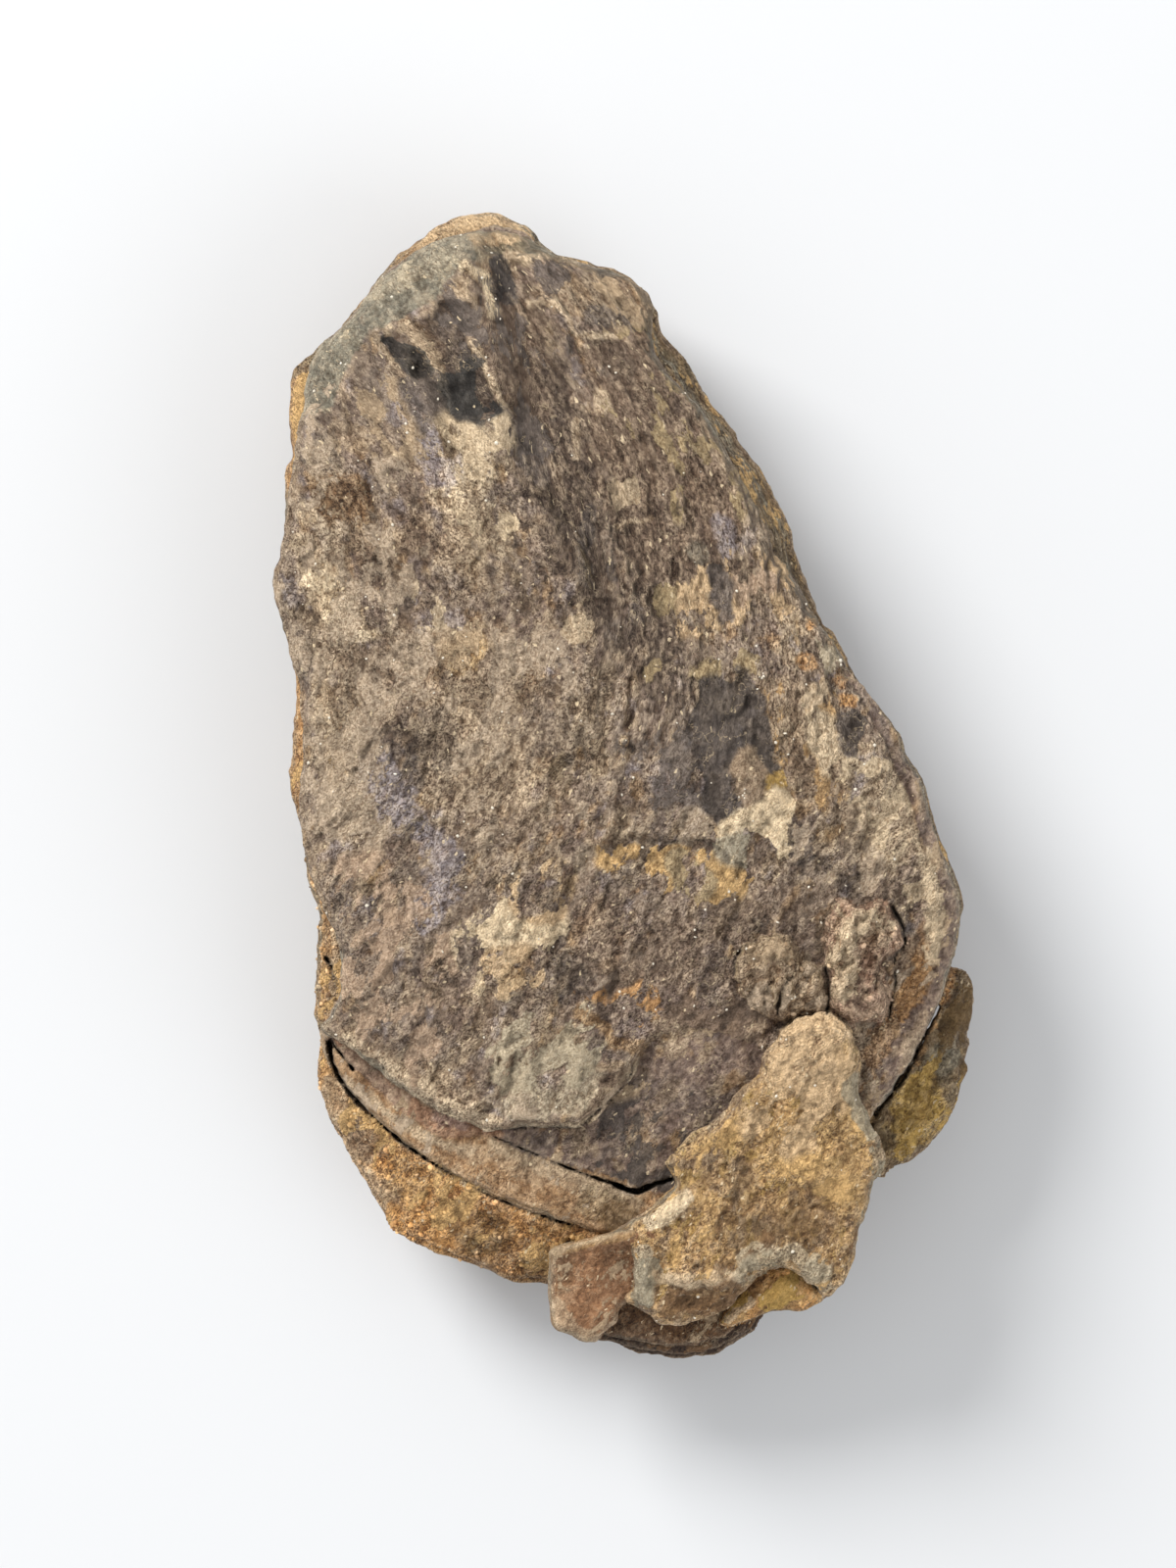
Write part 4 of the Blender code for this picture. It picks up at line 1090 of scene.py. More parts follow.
# %% Thicker crusts: the colour, how much they cover, an outline, and how far its edge may wander
TOP_CRUSTS = (
    (TAN_GREY, 0.48, ((-23.0, 21.0), (-19.0, 18.0), (-15.0, 14.0), (-13.0, 8.0), (-16.6, 3.0),
     (-20.6, -2.0), (-23.4, 0.0), (-24.0, 10.0)), 2.5),
    (TAN, 0.45, ((-18.6, 33.6), (-16.0, 31.0), (-14.2, 27.0), (-13.4, 24.0), (-17.0, 25.6), (-20.6, 26.0),
     (-20.4, 28.0)), 1.2),
    (BROWN_GREY, 0.1, DARK_SWEEP, 2.4),
    (BROWN_GREY, 0.2, GREY_FLOOR, 2.0),
    (PINK_BUFF, 0.5, ((-21.0, -8.0), (-17.0, -8.0), (-11.0, -12.0), (-12.0, -19.0), (-18.0, -19.0),
     (-21.6, -14.0)), 2.5),
    (LEAF_BROWN, 0.5, BROWN_SHOULDER, 0.9),
    (PALE_BUFF, 0.6, ((18.0, -1.0), (20.6, -0.6), (23.6, -6.0), (24.4, -12.0), (22.6, -12.0),
     (21.0, -6.0)), 1.2),
    (SLATE, 0.45, NARROW_SHADE, 1.6),
    (TAN, 0.45, ((-4.0, 39.4), (1.0, 37.4), (3.4, 33.0), (-3.4, 36.0)), 1.0),
    (OLIVE_BUFF, 0.34, ((-2.0, 32.0), (3.0, 32.0), (5.6, 27.0), (7.6, 21.0), (3.0, 22.0),
     (-1.0, 27.6)), 1.6),
    (TIP_BUFF, 0.7, UPPER_CRUST, 1.3),
    (SLATE, 0.9, ((6.4, 14.2), (7.4, 14.4), (7.8, 12.9), (6.9, 12.7)), 0.3),
    (SLATE, 0.9, ((6.4, 16.1), (7.3, 16.2), (7.7, 14.6), (6.9, 14.5)), 0.3),
    (PINK_BUFF, 0.7, ((8.4, 15.4), (10.4, 15.6), (10.6, 14.5), (9.0, 14.2)), 0.6),
    (PALE_GREEN, 0.75, ((13.9, 11.3), (14.8, 10.9), (16.5, 9.6), (16.1, 8.7), (15.0, 8.4),
     (14.5, 9.5)), 0.6),
    (OLIVE_BUFF, 0.75, ((5.4, 8.3), (6.6, 8.9), (8.0, 9.3), (10.6, 9.8), (10.4, 8.9), (8.6, 8.4),
     (6.8, 7.4), (5.6, 7.6)), 0.7),
    (SLATE, 0.65, ((1.0, 3.6), (5.4, 4.6), (7.0, 4.0), (7.4, 0.4), (7.2, -2.6), (2.6, -2.2),
     (0.8, 0.2)), 1.4),
    (CHARCOAL, 1.15, DARK_HOLLOW, 0.6),
    (WARM_BROWN, 0.8, ((8.7, 2.5), (9.3, 2.6), (10.1, 0.8), (10.9, -0.6), (10.2, -1.7), (8.8, -1.8),
     (8.5, 0.4)), 0.4),
    (YELLOW, 0.8, ((10.6, 0.5), (11.6, 0.6), (11.8, -0.2), (10.9, -0.3)), 0.4),
    (BUFF, 0.8, ((12.6, 6.9), (13.4, 7.4), (14.6, 7.2), (14.2, 6.5), (13.2, 6.3)), 0.5),
    (PALE_BUFF, 0.7, ((13.8, 5.0), (15.6, 4.2), (16.6, 2.6), (19.8, 2.0), (19.6, 0.6), (16.4, 0.8),
     (14.8, 2.4)), 0.8),
    (CHARCOAL, 0.95, ((16.3, 5.6), (17.2, 5.8), (17.7, 4.4), (17.4, 2.8), (16.4, 2.9), (16.1, 4.0)), 0.4),
    (BRIGHT_OCHRE, 0.9, OCHRE_BAND, 1.3),
    (OLIVE_BUFF, 0.5, ((3.6, -5.4), (5.2, -6.4), (6.6, -7.4), (5.6, -8.4), (4.4, -7.8)), 0.6),
    (TAN_GREY, 0.55, ((0.4, -3.2), (2.6, -2.6), (4.6, -2.3), (5.8, -2.9), (5.2, -3.7), (2.6, -3.4)), 0.8),
    (PALE_BLUE, 0.6, ((7.6, -4.1), (9.0, -3.9), (9.4, -4.8), (8.6, -5.3), (7.8, -4.9)), 0.8),
    (CREAM, 1.3, CREAM_CRUST, 0.5),
    (CREAM, 0.78, BUFF_RIDGE, 1.5),
    (TIP_BUFF, 0.66, ((-9.4, -13.4), (-7.4, -13.2), (-7.2, -15.6), (-9.0, -15.8)), 1.2),
    (TIP_BUFF, 0.56, ((-8.0, -8.6), (-7.0, -6.4), (-5.0, -6.6), (-5.2, -8.8), (-6.4, -9.2)), 1.0),
    (BUFF, 0.9, ((-4.5, 11.9), (-3.4, 12.3), (-2.6, 11.8), (-2.8, 11.0), (-3.9, 11.1)), 0.4),
    (TAN, 0.5, ((-13.3, 11.8), (-11.6, 12.0), (-10.8, 10.2), (-11.4, 8.8), (-13.0, 9.6)), 1.0),
    (PALE_BUFF, 0.6, ((-15.2, 14.4), (-13.8, 14.9), (-13.4, 13.2), (-14.6, 12.4)), 0.8),
    (CREAM, 0.55, ((-10.7, 20.3), (-8.6, 20.6), (-7.2, 19.6), (-8.4, 18.4), (-10.2, 18.9)), 1.0),
    (PALE_BUFF, 0.5, ((-12.4, 26.8), (-9.8, 26.6), (-9.6, 24.6), (-10.2, 20.0), (-12.2, 21.0),
     (-12.9, 24.4)), 1.4),
    (OLIVE_BUFF, 0.5, ((0.9, 9.4), (2.4, 9.6), (2.8, 8.5), (1.4, 8.0)), 0.6),
    (OLIVE_BUFF, 0.5, ((2.2, 15.0), (3.0, 15.2), (3.0, 13.0), (2.2, 12.8)), 0.6),
    (BUFF, 0.6, ((-0.8, 22.2), (0.6, 22.4), (1.0, 20.8), (-0.3, 20.6)), 0.6),
    (DARK_BROWN, 0.5, ((1.0, -15.4), (8.0, -16.4), (9.6, -19.4), (5.0, -23.6), (0.6, -20.0)), 2.2),
    (ORANGE_RUST, 0.55, ((-4.9, -15.4), (-3.6, -15.0), (-2.4, -15.4), (-2.6, -16.8), (-4.2, -16.7)), 0.8),
    (ORANGE_RUST, 0.55, ((0.0, -16.2), (0.9, -15.6), (1.6, -16.4), (0.8, -17.2)), 1.0),
    (PALE_GREEN, 0.46, ((-10.4, -17.4), (-4.0, -17.0), (-1.0, -18.6), (-1.6, -21.0), (-5.0, -22.0),
     (-9.6, -21.4)), 1.2),
    # The floors of the two pits, painted dark grey as painted shade.
    (PIT_SHADE, 0.95, DEEP_PIT, 0.6),
    (PIT_SHADE, 0.9, LONG_PIT, 0.5),
    (CHARCOAL, 0.85, ((-10.1, 39.4), (-8.4, 39.2), (-7.9, 38.2), (-8.4, 37.2), (-9.8, 36.6)), 0.4),
    (SLATE, 0.8, ((-7.2, 39.2), (-5.4, 39.2), (-4.4, 38.4), (-5.0, 37.0), (-6.4, 37.4)), 0.5),
    (PALE_GREEN, 0.32, ((-20.6, 34.0), (-17.6, 34.8), (-14.0, 38.6), (-11.6, 40.0), (-13.0, 41.0),
     (-17.0, 38.6)), 0.9),
)

# %% Thicker crusts on the other leaves
RIGHT_LUMP_CRUSTS = (
    (PALE_BUFF, 0.4, ((15.4, -9.4), (18.6, -9.0), (19.4, -11.8), (16.8, -15.0), (15.4, -13.0)), 1.2),
)
LEFT_LUMP_CRUSTS = (
    (TAN, 0.6, ((8.4, -12.4), (11.4, -11.2), (13.0, -12.6), (11.0, -13.0), (9.2, -14.0)), 0.7),
)
SLAB_CRUSTS = (
    (TIP_BUFF, 0.9, ((-15.6, 39.8), (-15.0, 42.2), (-11.0, 43.6), (-7.0, 43.6), (-6.0, 41.4),
     (-9.0, 41.0)), 1.0),
)
LOOSE_CRUSTS = (
    (TIP_BUFF, 0.62, ((12.0, -18.0), (16.0, -18.0), (15.6, -22.0), (14.6, -25.0), (11.0, -26.0),
     (9.6, -23.4)), 1.4),
    (PALE_BLUE, 0.9, ((17.0, -21.4), (17.8, -23.2), (18.8, -25.4), (19.6, -26.6), (19.2, -29.6),
     (18.3, -29.2), (18.2, -26.8), (17.2, -25.0), (16.7, -22.6)), 0.3),
    (EARTH, 0.36, ((8.6, -31.0), (16.0, -31.4), (15.8, -34.6), (9.4, -35.0)), 1.6),
    (BRIGHT_OCHRE, 0.85, ((15.0, -29.6), (17.3, -29.2), (17.0, -31.3), (15.2, -31.1)), 0.7),
    (CREAM, 1.0, ((1.7, -32.0), (2.6, -31.3), (3.8, -30.9), (4.6, -30.4), (4.9, -30.8), (4.3, -31.7),
     (3.4, -32.2), (2.5, -32.8)), 0.15),
    (PALE_BLUE, 0.9, ((0.8, -35.4), (2.2, -35.6), (2.7, -36.6), (2.2, -37.8), (1.6, -38.6), (0.5, -38.8),
     (0.4, -37.0)), 0.4),
    (BUFF, 0.85, ((2.4, -36.4), (6.2, -37.0), (8.4, -36.5), (8.3, -37.2), (6.2, -37.7),
     (3.0, -37.3)), 0.3),
    # Darker brown on the lower side of the rolled rim, partly the leaf's brown and partly painted shade.
    (EARTH, 0.7, ((2.6, -38.0), (5.0, -38.2), (7.8, -37.6), (8.2, -38.6), (6.4, -39.6),
     (3.4, -39.8)), 0.7),
    (PALE_GREEN, 0.6, ((8.6, -36.2), (10.6, -35.5), (12.6, -35.3), (14.4, -35.6), (14.9, -36.8),
     (12.9, -36.5), (10.6, -36.2)), 0.7),
)
MIDDLE_CRUSTS = (
    (CHARCOAL, 0.4, ((-2.0, -26.0), (6.0, -24.0), (6.0, -30.0), (-1.0, -30.0)), 1.5),
)
SIDE_LEAF_CRUSTS = (
    (DARK_OLIVE, 0.4, ((24.0, -13.0), (27.0, -14.0), (26.4, -20.0), (24.4, -19.0)), 1.6),
)
CRUSTS = (
    ("top bed", TOP_CRUSTS), ("right lump", RIGHT_LUMP_CRUSTS), ("left lump", LEFT_LUMP_CRUSTS),
    ("lower slab", SLAB_CRUSTS), ("loose leaf", LOOSE_CRUSTS), ("middle bed", MIDDLE_CRUSTS),
    ("side leaf", SIDE_LEAF_CRUSTS),
)
print(f"{sum(len(rows) for _, rows in CRUSTS)} crusts")

# %% Mottling: leaves, a colour, its strength, the patches' size, how rare they are, and a seed
MOTTLES = (
    (("top bed", "middle bed"), PURPLE_BROWN, 0.5, 4.4, 0.0, 89),
    (("top bed", "middle bed"), SLATE, 0.4, 3.2, 0.08, 90),
    (("top bed", "middle bed"), TAN, 0.55, 2.6, 0.14, 91),
    (("top bed", "middle bed"), OLIVE, 0.4, 4.0, 0.12, 88),
    # Patches of blue-grey sheen: partly the rock's own tone, partly a painted reflection.
    (("top bed",), LILAC_SHEEN, 0.45, 2.4, 0.22, 93),
    (("top bed", "middle bed"), OCHRE, 0.45, 2.2, 0.22, 94),
    (("top bed", "middle bed"), CHARCOAL, 0.4, 1.3, 0.28, 95),
    (("top bed",), BUFF, 0.6, 1.0, 0.32, 92),
    (("loose leaf", "knob"), BRIGHT_OCHRE, 0.6, 2.0, 0.1, 96),
    (("loose leaf",), DARK_BROWN, 0.6, 1.8, 0.12, 97),
    (("loose leaf",), TAN, 0.5, 1.0, 0.16, 98),
    (("loose leaf", "side leaf"), YELLOW, 0.6, 1.5, 0.2, 99),
    (("lower slab",), BRIGHT_OCHRE, 0.5, 1.2, 0.14, 100),
    (("edge bed",), TAN, 0.3, 1.6, 0.14, 106),
    (("lower slab", "side leaf"), EARTH, 0.6, 1.4, 0.1, 101),
    (("lower slab", "knob"), RUST, 0.5, 2.4, 0.1, 102),
    (("left lump", "right lump"), EARTH, 0.6, 1.1, 0.12, 103),
    (("left lump", "right lump"), BUFF, 0.5, 0.9, 0.16, 104),
    (("side leaf",), DARK_OLIVE, 0.6, 2.0, 0.05, 105),
)

# %% [markdown]
# ## Painting
# Each point of a skin takes the ground colour of its leaf. Mottles, stains, rims and bands are
# washed over that in turn. Then wear and painted light are added from the skin's own shape: what
# stands proud is paler, partly worn and partly a painted highlight, and what lies low is darker,
# partly dirt and partly painted shade. Cracks get painted shade too. All of it is kept as
# attributes of the mesh, so it stays on the stone however the stone is moved.

# %% Shapes of stains, broken up by noise
def wash(tint, colour, mask):
    """The tint with this much of a colour over it."""
    return tint + (colour - tint) * np.clip(mask, 0, 1)[:, None]


def shape_mask(x, y, shape, where, *numbers):
    """1 inside a stain's shape, and 0 beyond its soft edge."""
    if shape == "area":
        return ramp(within(where, x, y), *numbers)
    return (stroke if shape == "stroke" else spot)(x, y, where, *numbers)


def stained(tint, x, y, z, owner):
    """Every stain of every leaf, with its edge eaten away by fine noise.

    A patch is an outline and how far in from it, and out, the noise may move the edge."""
    near_x = x + 0.5 * rough(x, y, z, 2.6, 50) + 0.2 * lumps(x, y, z, 0.7, 51)
    near_y = y + 0.5 * rough(x, y, z, 2.6, 52) + 0.2 * lumps(x, y, z, 0.7, 53)
    crumble = [0.9 * rough(x, y, z, 1.5, 54 + k, 5) for k in range(3)]
    for name, stains in STAINS:
        mine = np.flatnonzero(is_leaf(owner, name))
        if not len(mine):
            continue
        part, at_x, at_y = tint[mine], near_x[mine], near_y[mine]
        for k, (colour, strength, *shape) in enumerate(stains):
            noise = crumble[k % 3][mine]
            if shape[0] == "patch":
                inside = within(shape[1], at_x, at_y) / shape[2]
                mask = ramp(np.clip(inside, -1, 1) + 2.0 * noise, 0.0, 0.25) * ramp(inside, -1.0, -0.8)
            else:
                whole = shape_mask(at_x, at_y, *shape)
                broken = min(1.0, shape[3]) if shape[0] != "area" else 0.2
                mask = ramp(whole + broken * noise, 0.38, 0.56) * ramp(whole, 0.0, 0.2)
            part = wash(part, colour, strength * mask)
        tint[mine] = part
    return tint


def crusted(x, y, owner):
    """The colour of the crust at every point, and how much of the ground it covers there."""
    colours = np.array([LEAF_CRUSTS[item["name"]][0] for item in LEAVES])[owner]
    cover = np.array([LEAF_CRUSTS[item["name"]][1] for item in LEAVES])[owner]
    x, y = x + 1.1 * rough(x, y, 0, 2.8, 40, 5), y + 1.1 * rough(x, y, 0, 2.8, 41, 5)
    for name, rows in CRUSTS:
        mine = np.flatnonzero(is_leaf(owner, name))
        for colour, share, outline, reach in rows if len(mine) else ():
            inside = within(outline, x[mine], y[mine]) / reach
            colours[mine] = wash(colours[mine], colour, ramp(inside, -1.3, -0.8))
            cover[mine] += (share - cover[mine]) * ramp(inside, -1.0, 1.0)
    return colours, cover + 0.85 * rough(combed(x, y), y, 0, (2.6, 4.4, 3.0), 42, 4)


def mottled(tint, x, y, z, owner):
    for names, colour, strength, size, rarity, seed in MOTTLES:
        mine = np.flatnonzero(is_leaf(owner, *names))
        if not len(mine):
            continue
        across = combed(x[mine], y[mine])
        field = rough(across, y[mine], z[mine], (0.75 * size, 1.35 * size, size), seed, 5)
        tint[mine] = wash(tint[mine], colour, strength * ramp(field, rarity, rarity + 0.09))
    return tint


# %% The beds that show on the sides
BED_COLOURS = np.array([OLIVE, BAND_BROWN, DARK_BROWN, TAN, GREY_GREEN, SLAB_OCHRE, WARM_BROWN,
                        EARTH, BROWN_GREY])
bed_picks = rng.integers(0, len(BED_COLOURS), BED_COUNT)
bed_picks = np.repeat(bed_picks, rng.integers(1, 6, BED_COUNT))[:BED_COUNT]


def bed_colour(x, y, z):
    """Thin bands of colour that follow the beds round the sides."""
    at = ((z + bed_shift(x, y)) / BED + FIRST_BED + 1.6 * rough(x, y, z, 3.0, 63, 5)).astype(int)
    return BED_COLOURS[bed_picks[at % BED_COUNT]]


# %% Wear, dirt and painted light: proud places are paler, low places darker
FINE_DEPTH = 0.030  # this far below its neighbours, fully darkened as dirt and painted shade; this far above, fully paled
BROAD_DEPTH = 0.16  # the same, against the points around it
BROAD_ROUNDS = 10  # how many times the mesh is evened out to find what lies around a point


def hollows(piece, normals, rounds):
    """How far each point lies below the points around it, in millimetres."""
    ends = np.empty(len(piece.data.edges) * 2, np.int32)
    piece.data.edges.foreach_get("vertices", ends)
    a, b = ends.reshape(-1, 2).T
    count = np.bincount(a, minlength=len(normals)) + np.bincount(b, minlength=len(normals))
    places = places_and_normals(piece)[0].astype(float)
    evened = places
    for _ in range(rounds):
        total = [np.bincount(a, evened[b, k], len(count)) + np.bincount(b, evened[a, k], len(count))
                 for k in range(3)]
        evened = np.stack(total, axis=1) / np.maximum(count, 1)[:, None]
    return ((evened - places) * normals).sum(axis=1)


def worn(tint, piece, normals):
    """The tint darker in hollows, partly as dirt and partly as painted shade, and paler where the stone
    stands proud, partly as wear and partly as a painted highlight.
    """
    fine = np.clip(hollows(piece, normals, 1) / FINE_DEPTH, -1, 1)
    broad = np.clip(hollows(piece, normals, BROAD_ROUNDS) / BROAD_DEPTH, -1, 1)
    low = np.clip(0.5 * fine + 0.6 * broad, 0, 1)
    high = np.clip(-0.4 * fine - 0.5 * broad, 0, 1)
    tint = tint * (1 - low[:, None] * (0.40, 0.47, 0.53))
    return wash(tint * (1 + 0.2 * high[:, None]), BUFF, 0.35 * high)


# %% Rims, painted shade in the cracks, and where the stone is grainy
def rims(owner, x, y, reach):
    """1 at each leaf's own worn edge, and 0 a little way in from it."""
    found = np.zeros(len(owner))
    for k, item in enumerate(LEAVES):
        mine = np.flatnonzero(owner == k)
        if len(mine):
            found[mine] = ramp(np.abs(edge_of(item, x[mine], y[mine])), reach, 0.0)
    return found


def shaded_cracks(tint, x, y, z):
    """Painted shade in every crack of the upper beds."""
    shade = np.zeros(len(x))
    ragged = rough(x, y, 0, 1.8, 14, 3)
    for points, width, _ in CRACKS:
        away = away_from(points, x, y)
        away -= stray(width) * ragged
        shade = np.maximum(shade, ramp(away, width / 2 + 0.12, width / 2 - 0.08))
    return wash(tint, SHADE, 0.85 * shade * (z > 8.0))


def graininess(owner, x, y):
    """How grainy each place is: 1 on most of the stone, less on its smoothly split faces."""
    grainy = np.ones(len(x))
    grainy[is_leaf(owner, "edge bed", "middle bed")] = 0.55
    grainy[is_leaf(owner, "foot", "side leaf")] = 0.65
    top = is_leaf(owner, "top bed")
    grainy[top] = (0.95 - 0.4 * ramp(y[top], 18.0, 32.0)
                   - 0.3 * spot(x[top], y[top], (-5.0, -22.0), (12.0, 9.0), 3.0))
    for calm in (ramp(within(BEVEL, x, y), -0.6, 0.4), ramp(within(DARK_HOLLOW, x, y), -0.4, 0.4),
                 spot(x, y, (-11.4, 28.6), (4.0, 3.2), 0.6)):
        grainy = np.where(top, np.minimum(grainy, 1 - 0.55 * calm), grainy)
    return grainy


# %% The layers of colour, in the order that they go on
def ground_colour(x, y, z, owner, flat):
    """The leaves' own colours with mottles and stains, and with pale rims at their worn edges."""
    tint = np.array([LEAF_COLOURS[item["name"]] for item in LEAVES])[owner]
    tint = mottled(tint, x, y, z, owner)
    tint = stained(tint, x, y, z, owner)
    rim = rims(owner, x, y, 0.5) * flat
    green_rim = 0.6 * rim * is_leaf(owner, "top bed", "edge bed", "foot") * ramp(y, -14.0, -18.0)
    tint = wash(tint, PALE_GREEN, green_rim)
    return wash(tint, BUFF, 0.35 * rim * is_leaf(owner, "loose leaf", "top bed"))


def banded_sides(tint, x, y, z, normals, flat):
    """Bands along the beds, wherever the skin isn't flat. The underside has none."""
    banded = 0.3 + 0.5 * ramp(rough(x, y, z, (5.0, 5.0, 1.6), 64, 4), -0.2, 0.15)
    return wash(tint, bed_colour(x, y, z), banded * (1 - flat) * (normals[:, 2] > -0.9))


def painted_shade_under_leaves(tint, owner, flat):
    """Painted shade: the leaves under the broad end lie in shade, so their colour is darkened."""
    deep = is_leaf(owner, "low under leaf", "mid under leaf", "high under leaf") * (1 - 0.2 * flat)
    return tint * (1 - deep[:, None] * (0.35, 0.45, 0.55))


def clouded(tint, x, y, z, flat):
    """Soft clouds of light and dark, with a shade for each flake and buff on the freshest ones."""
    thick, thin, crisp = terraces(x, y)
    cloud = 1 + 0.08 * lumps(x, y, z, 5.0, 60) + 0.03 * lumps(x, y, z, 1.6, 61)
    cloud += flat * (0.16 * (thick - 0.5) + 0.28 * (thin - 0.5) + 0.24 * (crisp - 0.5))
    fresh = 0.2 * flat * ramp(thin, 0.7, 0.95) * ramp(crisp, 0.1, 0.4)
    return wash(tint * cloud[:, None], BUFF, fresh)


def painted_crust(piece, x, y, z, normals, owner, flat):
    """The crust's colour at every point, with its cover as a fourth number."""
    crust, cover = crusted(x, y, owner)
    # Painted shade: the crust is darker in hollows, and in the cracks.
    shade = 1 - 0.5 * np.clip(hollows(piece, normals, BROAD_ROUNDS) / BROAD_DEPTH, -0.3, 1)
    crust = shaded_cracks(crust * shade[:, None], x, y, z)
    return np.column_stack((crust, cover * (0.5 + 0.5 * flat)))


# %% Paint a piece
def painted(piece, grid):
    """The colour of every point of a piece, its crust, how fibrous it is and how grainy."""
    places, normals = places_and_normals(piece)
    x, y, z = places.T
    owner = owners(places, grid)
    flat = ramp(normals[:, 2], 0.35, 0.7)
    tint = ground_colour(x, y, z, owner, flat)
    tint = banded_sides(tint, x, y, z, normals, flat)
    # Painted shade on the leaves under the broad end.
    tint = painted_shade_under_leaves(tint, owner, flat)
    tint = clouded(tint, x, y, z, flat)
    # Hollows darker, partly dirt and partly painted shade; proud places paler, partly wear and partly
    # painted highlight; painted shade in the cracks.
    tint = shaded_cracks(worn(tint, piece, normals), x, y, z)
    crust = painted_crust(piece, x, y, z, normals, owner, flat)
    fibre = fibres(x, y) * is_leaf(owner, "top bed") * flat
    return tint, crust, fibre, graininess(owner, x, y)


def store(piece, name, kind, values):
    """Keeps one value for each point of a piece as an attribute that a material can read."""
    layer = piece.data.attributes.new(name, kind, "POINT")
    field = {"FLOAT_COLOR": "color", "FLOAT_VECTOR": "vector", "FLOAT": "value"}[kind]
    layer.data.foreach_set(field, np.ascontiguousarray(values, np.float32).ravel())


for piece, grid in stone_pieces:
    colours, crust, fibre, grainy = painted(piece, grid)
    x, y, z = places_and_normals(piece)[0].T
    store(piece, "stain", "FLOAT_COLOR", np.column_stack((colours, np.ones(len(colours)))))
    store(piece, "crust", "FLOAT_COLOR", crust)
    store(piece, "fibre", "FLOAT", fibre)
    store(piece, "grainy", "FLOAT", grainy)
    store(piece, "combed", "FLOAT_VECTOR", np.column_stack((combed(x, y), y, z)))
    piece.data.polygons.foreach_set("use_smooth", np.ones(len(piece.data.polygons), bool))
    print(f"{piece.name}: mean colour {colours.mean(axis=0).round(3)}")

# %% [markdown]
# ## The shale's material
# The stain attribute gives the broad colour. On it lie grains as small as a tenth of a
# millimetre, which no mesh could hold. They are made in a node group, drawn out into fibres where
# the mask says so, and the crust is broken into flakes there too. The same patterns lift the
# bump, so pale grains and flakes stand up as real ones do. Three materials use the group, each
# with its own contrast, pits and bump.

# %% A node helper
class Nodes:
    """Adds nodes to a tree and links them in one call each."""

    def __init__(self, tree):
        self.tree = tree

    def add(self, kind, settings=None, **inputs):
        node = self.tree.nodes.new(kind)
        for key, value in (settings or {}).items():
            setattr(node, key, value)
        for key, value in inputs.items():
            socket = node.inputs[int(key[1:]) if key[1:].isdigit() else key.replace("_", " ")]
            if isinstance(value, bpy.types.NodeSocket):
                self.tree.links.new(value, socket)
            else:
                socket.default_value = value
        return node

    def math(self, operation, a, b=0.0, c=0.0, clamp=False):
        """One step of arithmetic."""
        settings = {"operation": operation, "use_clamp": clamp}
        return self.add("ShaderNodeMath", settings, i0=a, i1=b, i2=c).outputs[0]

    def vector(self, operation, a, b=None, scale=None):
        given = {"i0": a}
        if b is not None:
            given["i1"] = b
        if scale is not None:
            given["Scale"] = scale
        return self.add("ShaderNodeVectorMath", {"operation": operation}, **given).outputs[0]

    def mix(self, share, a, b, blend="MIX"):
        settings = {"data_type": "RGBA", "blend_type": blend, "clamp_factor": True}
        return self.add("ShaderNodeMix", settings, i0=share, i6=a, i7=b).outputs[2]

    def band(self, value, start, end):
        """0 at start and 1 at end, easing in and out."""
        settings = {"interpolation_type": "SMOOTHSTEP"}
        return self.add("ShaderNodeMapRange", settings, Value=value, From_Min=start,
                        From_Max=end).outputs[0]

    def stretch(self, value, start, end, low, high):
        """The value carried from one range to another."""
        return self.add("ShaderNodeMapRange", None, Value=value, From_Min=start, From_Max=end,
                        To_Min=low, To_Max=high).outputs[0]

    def noise(self, vector, scale, detail=3.0, roughness=0.6, output="Fac"):
        return self.add("ShaderNodeTexNoise", None, Vector=vector, Scale=scale, Detail=detail,
                        Roughness=roughness).outputs[output]


# %% The mineral grain, as a node group
GRIT_SCALE = 7.5  # how many to a millimetre, from the finest kind to the broadest
CELL_SCALE = 6.5
FLECK_SCALE = 1.2
CHIP_SCALE = 0.9
FLAKE_SCALE = 0.42
CALM_SCALE = 0.35


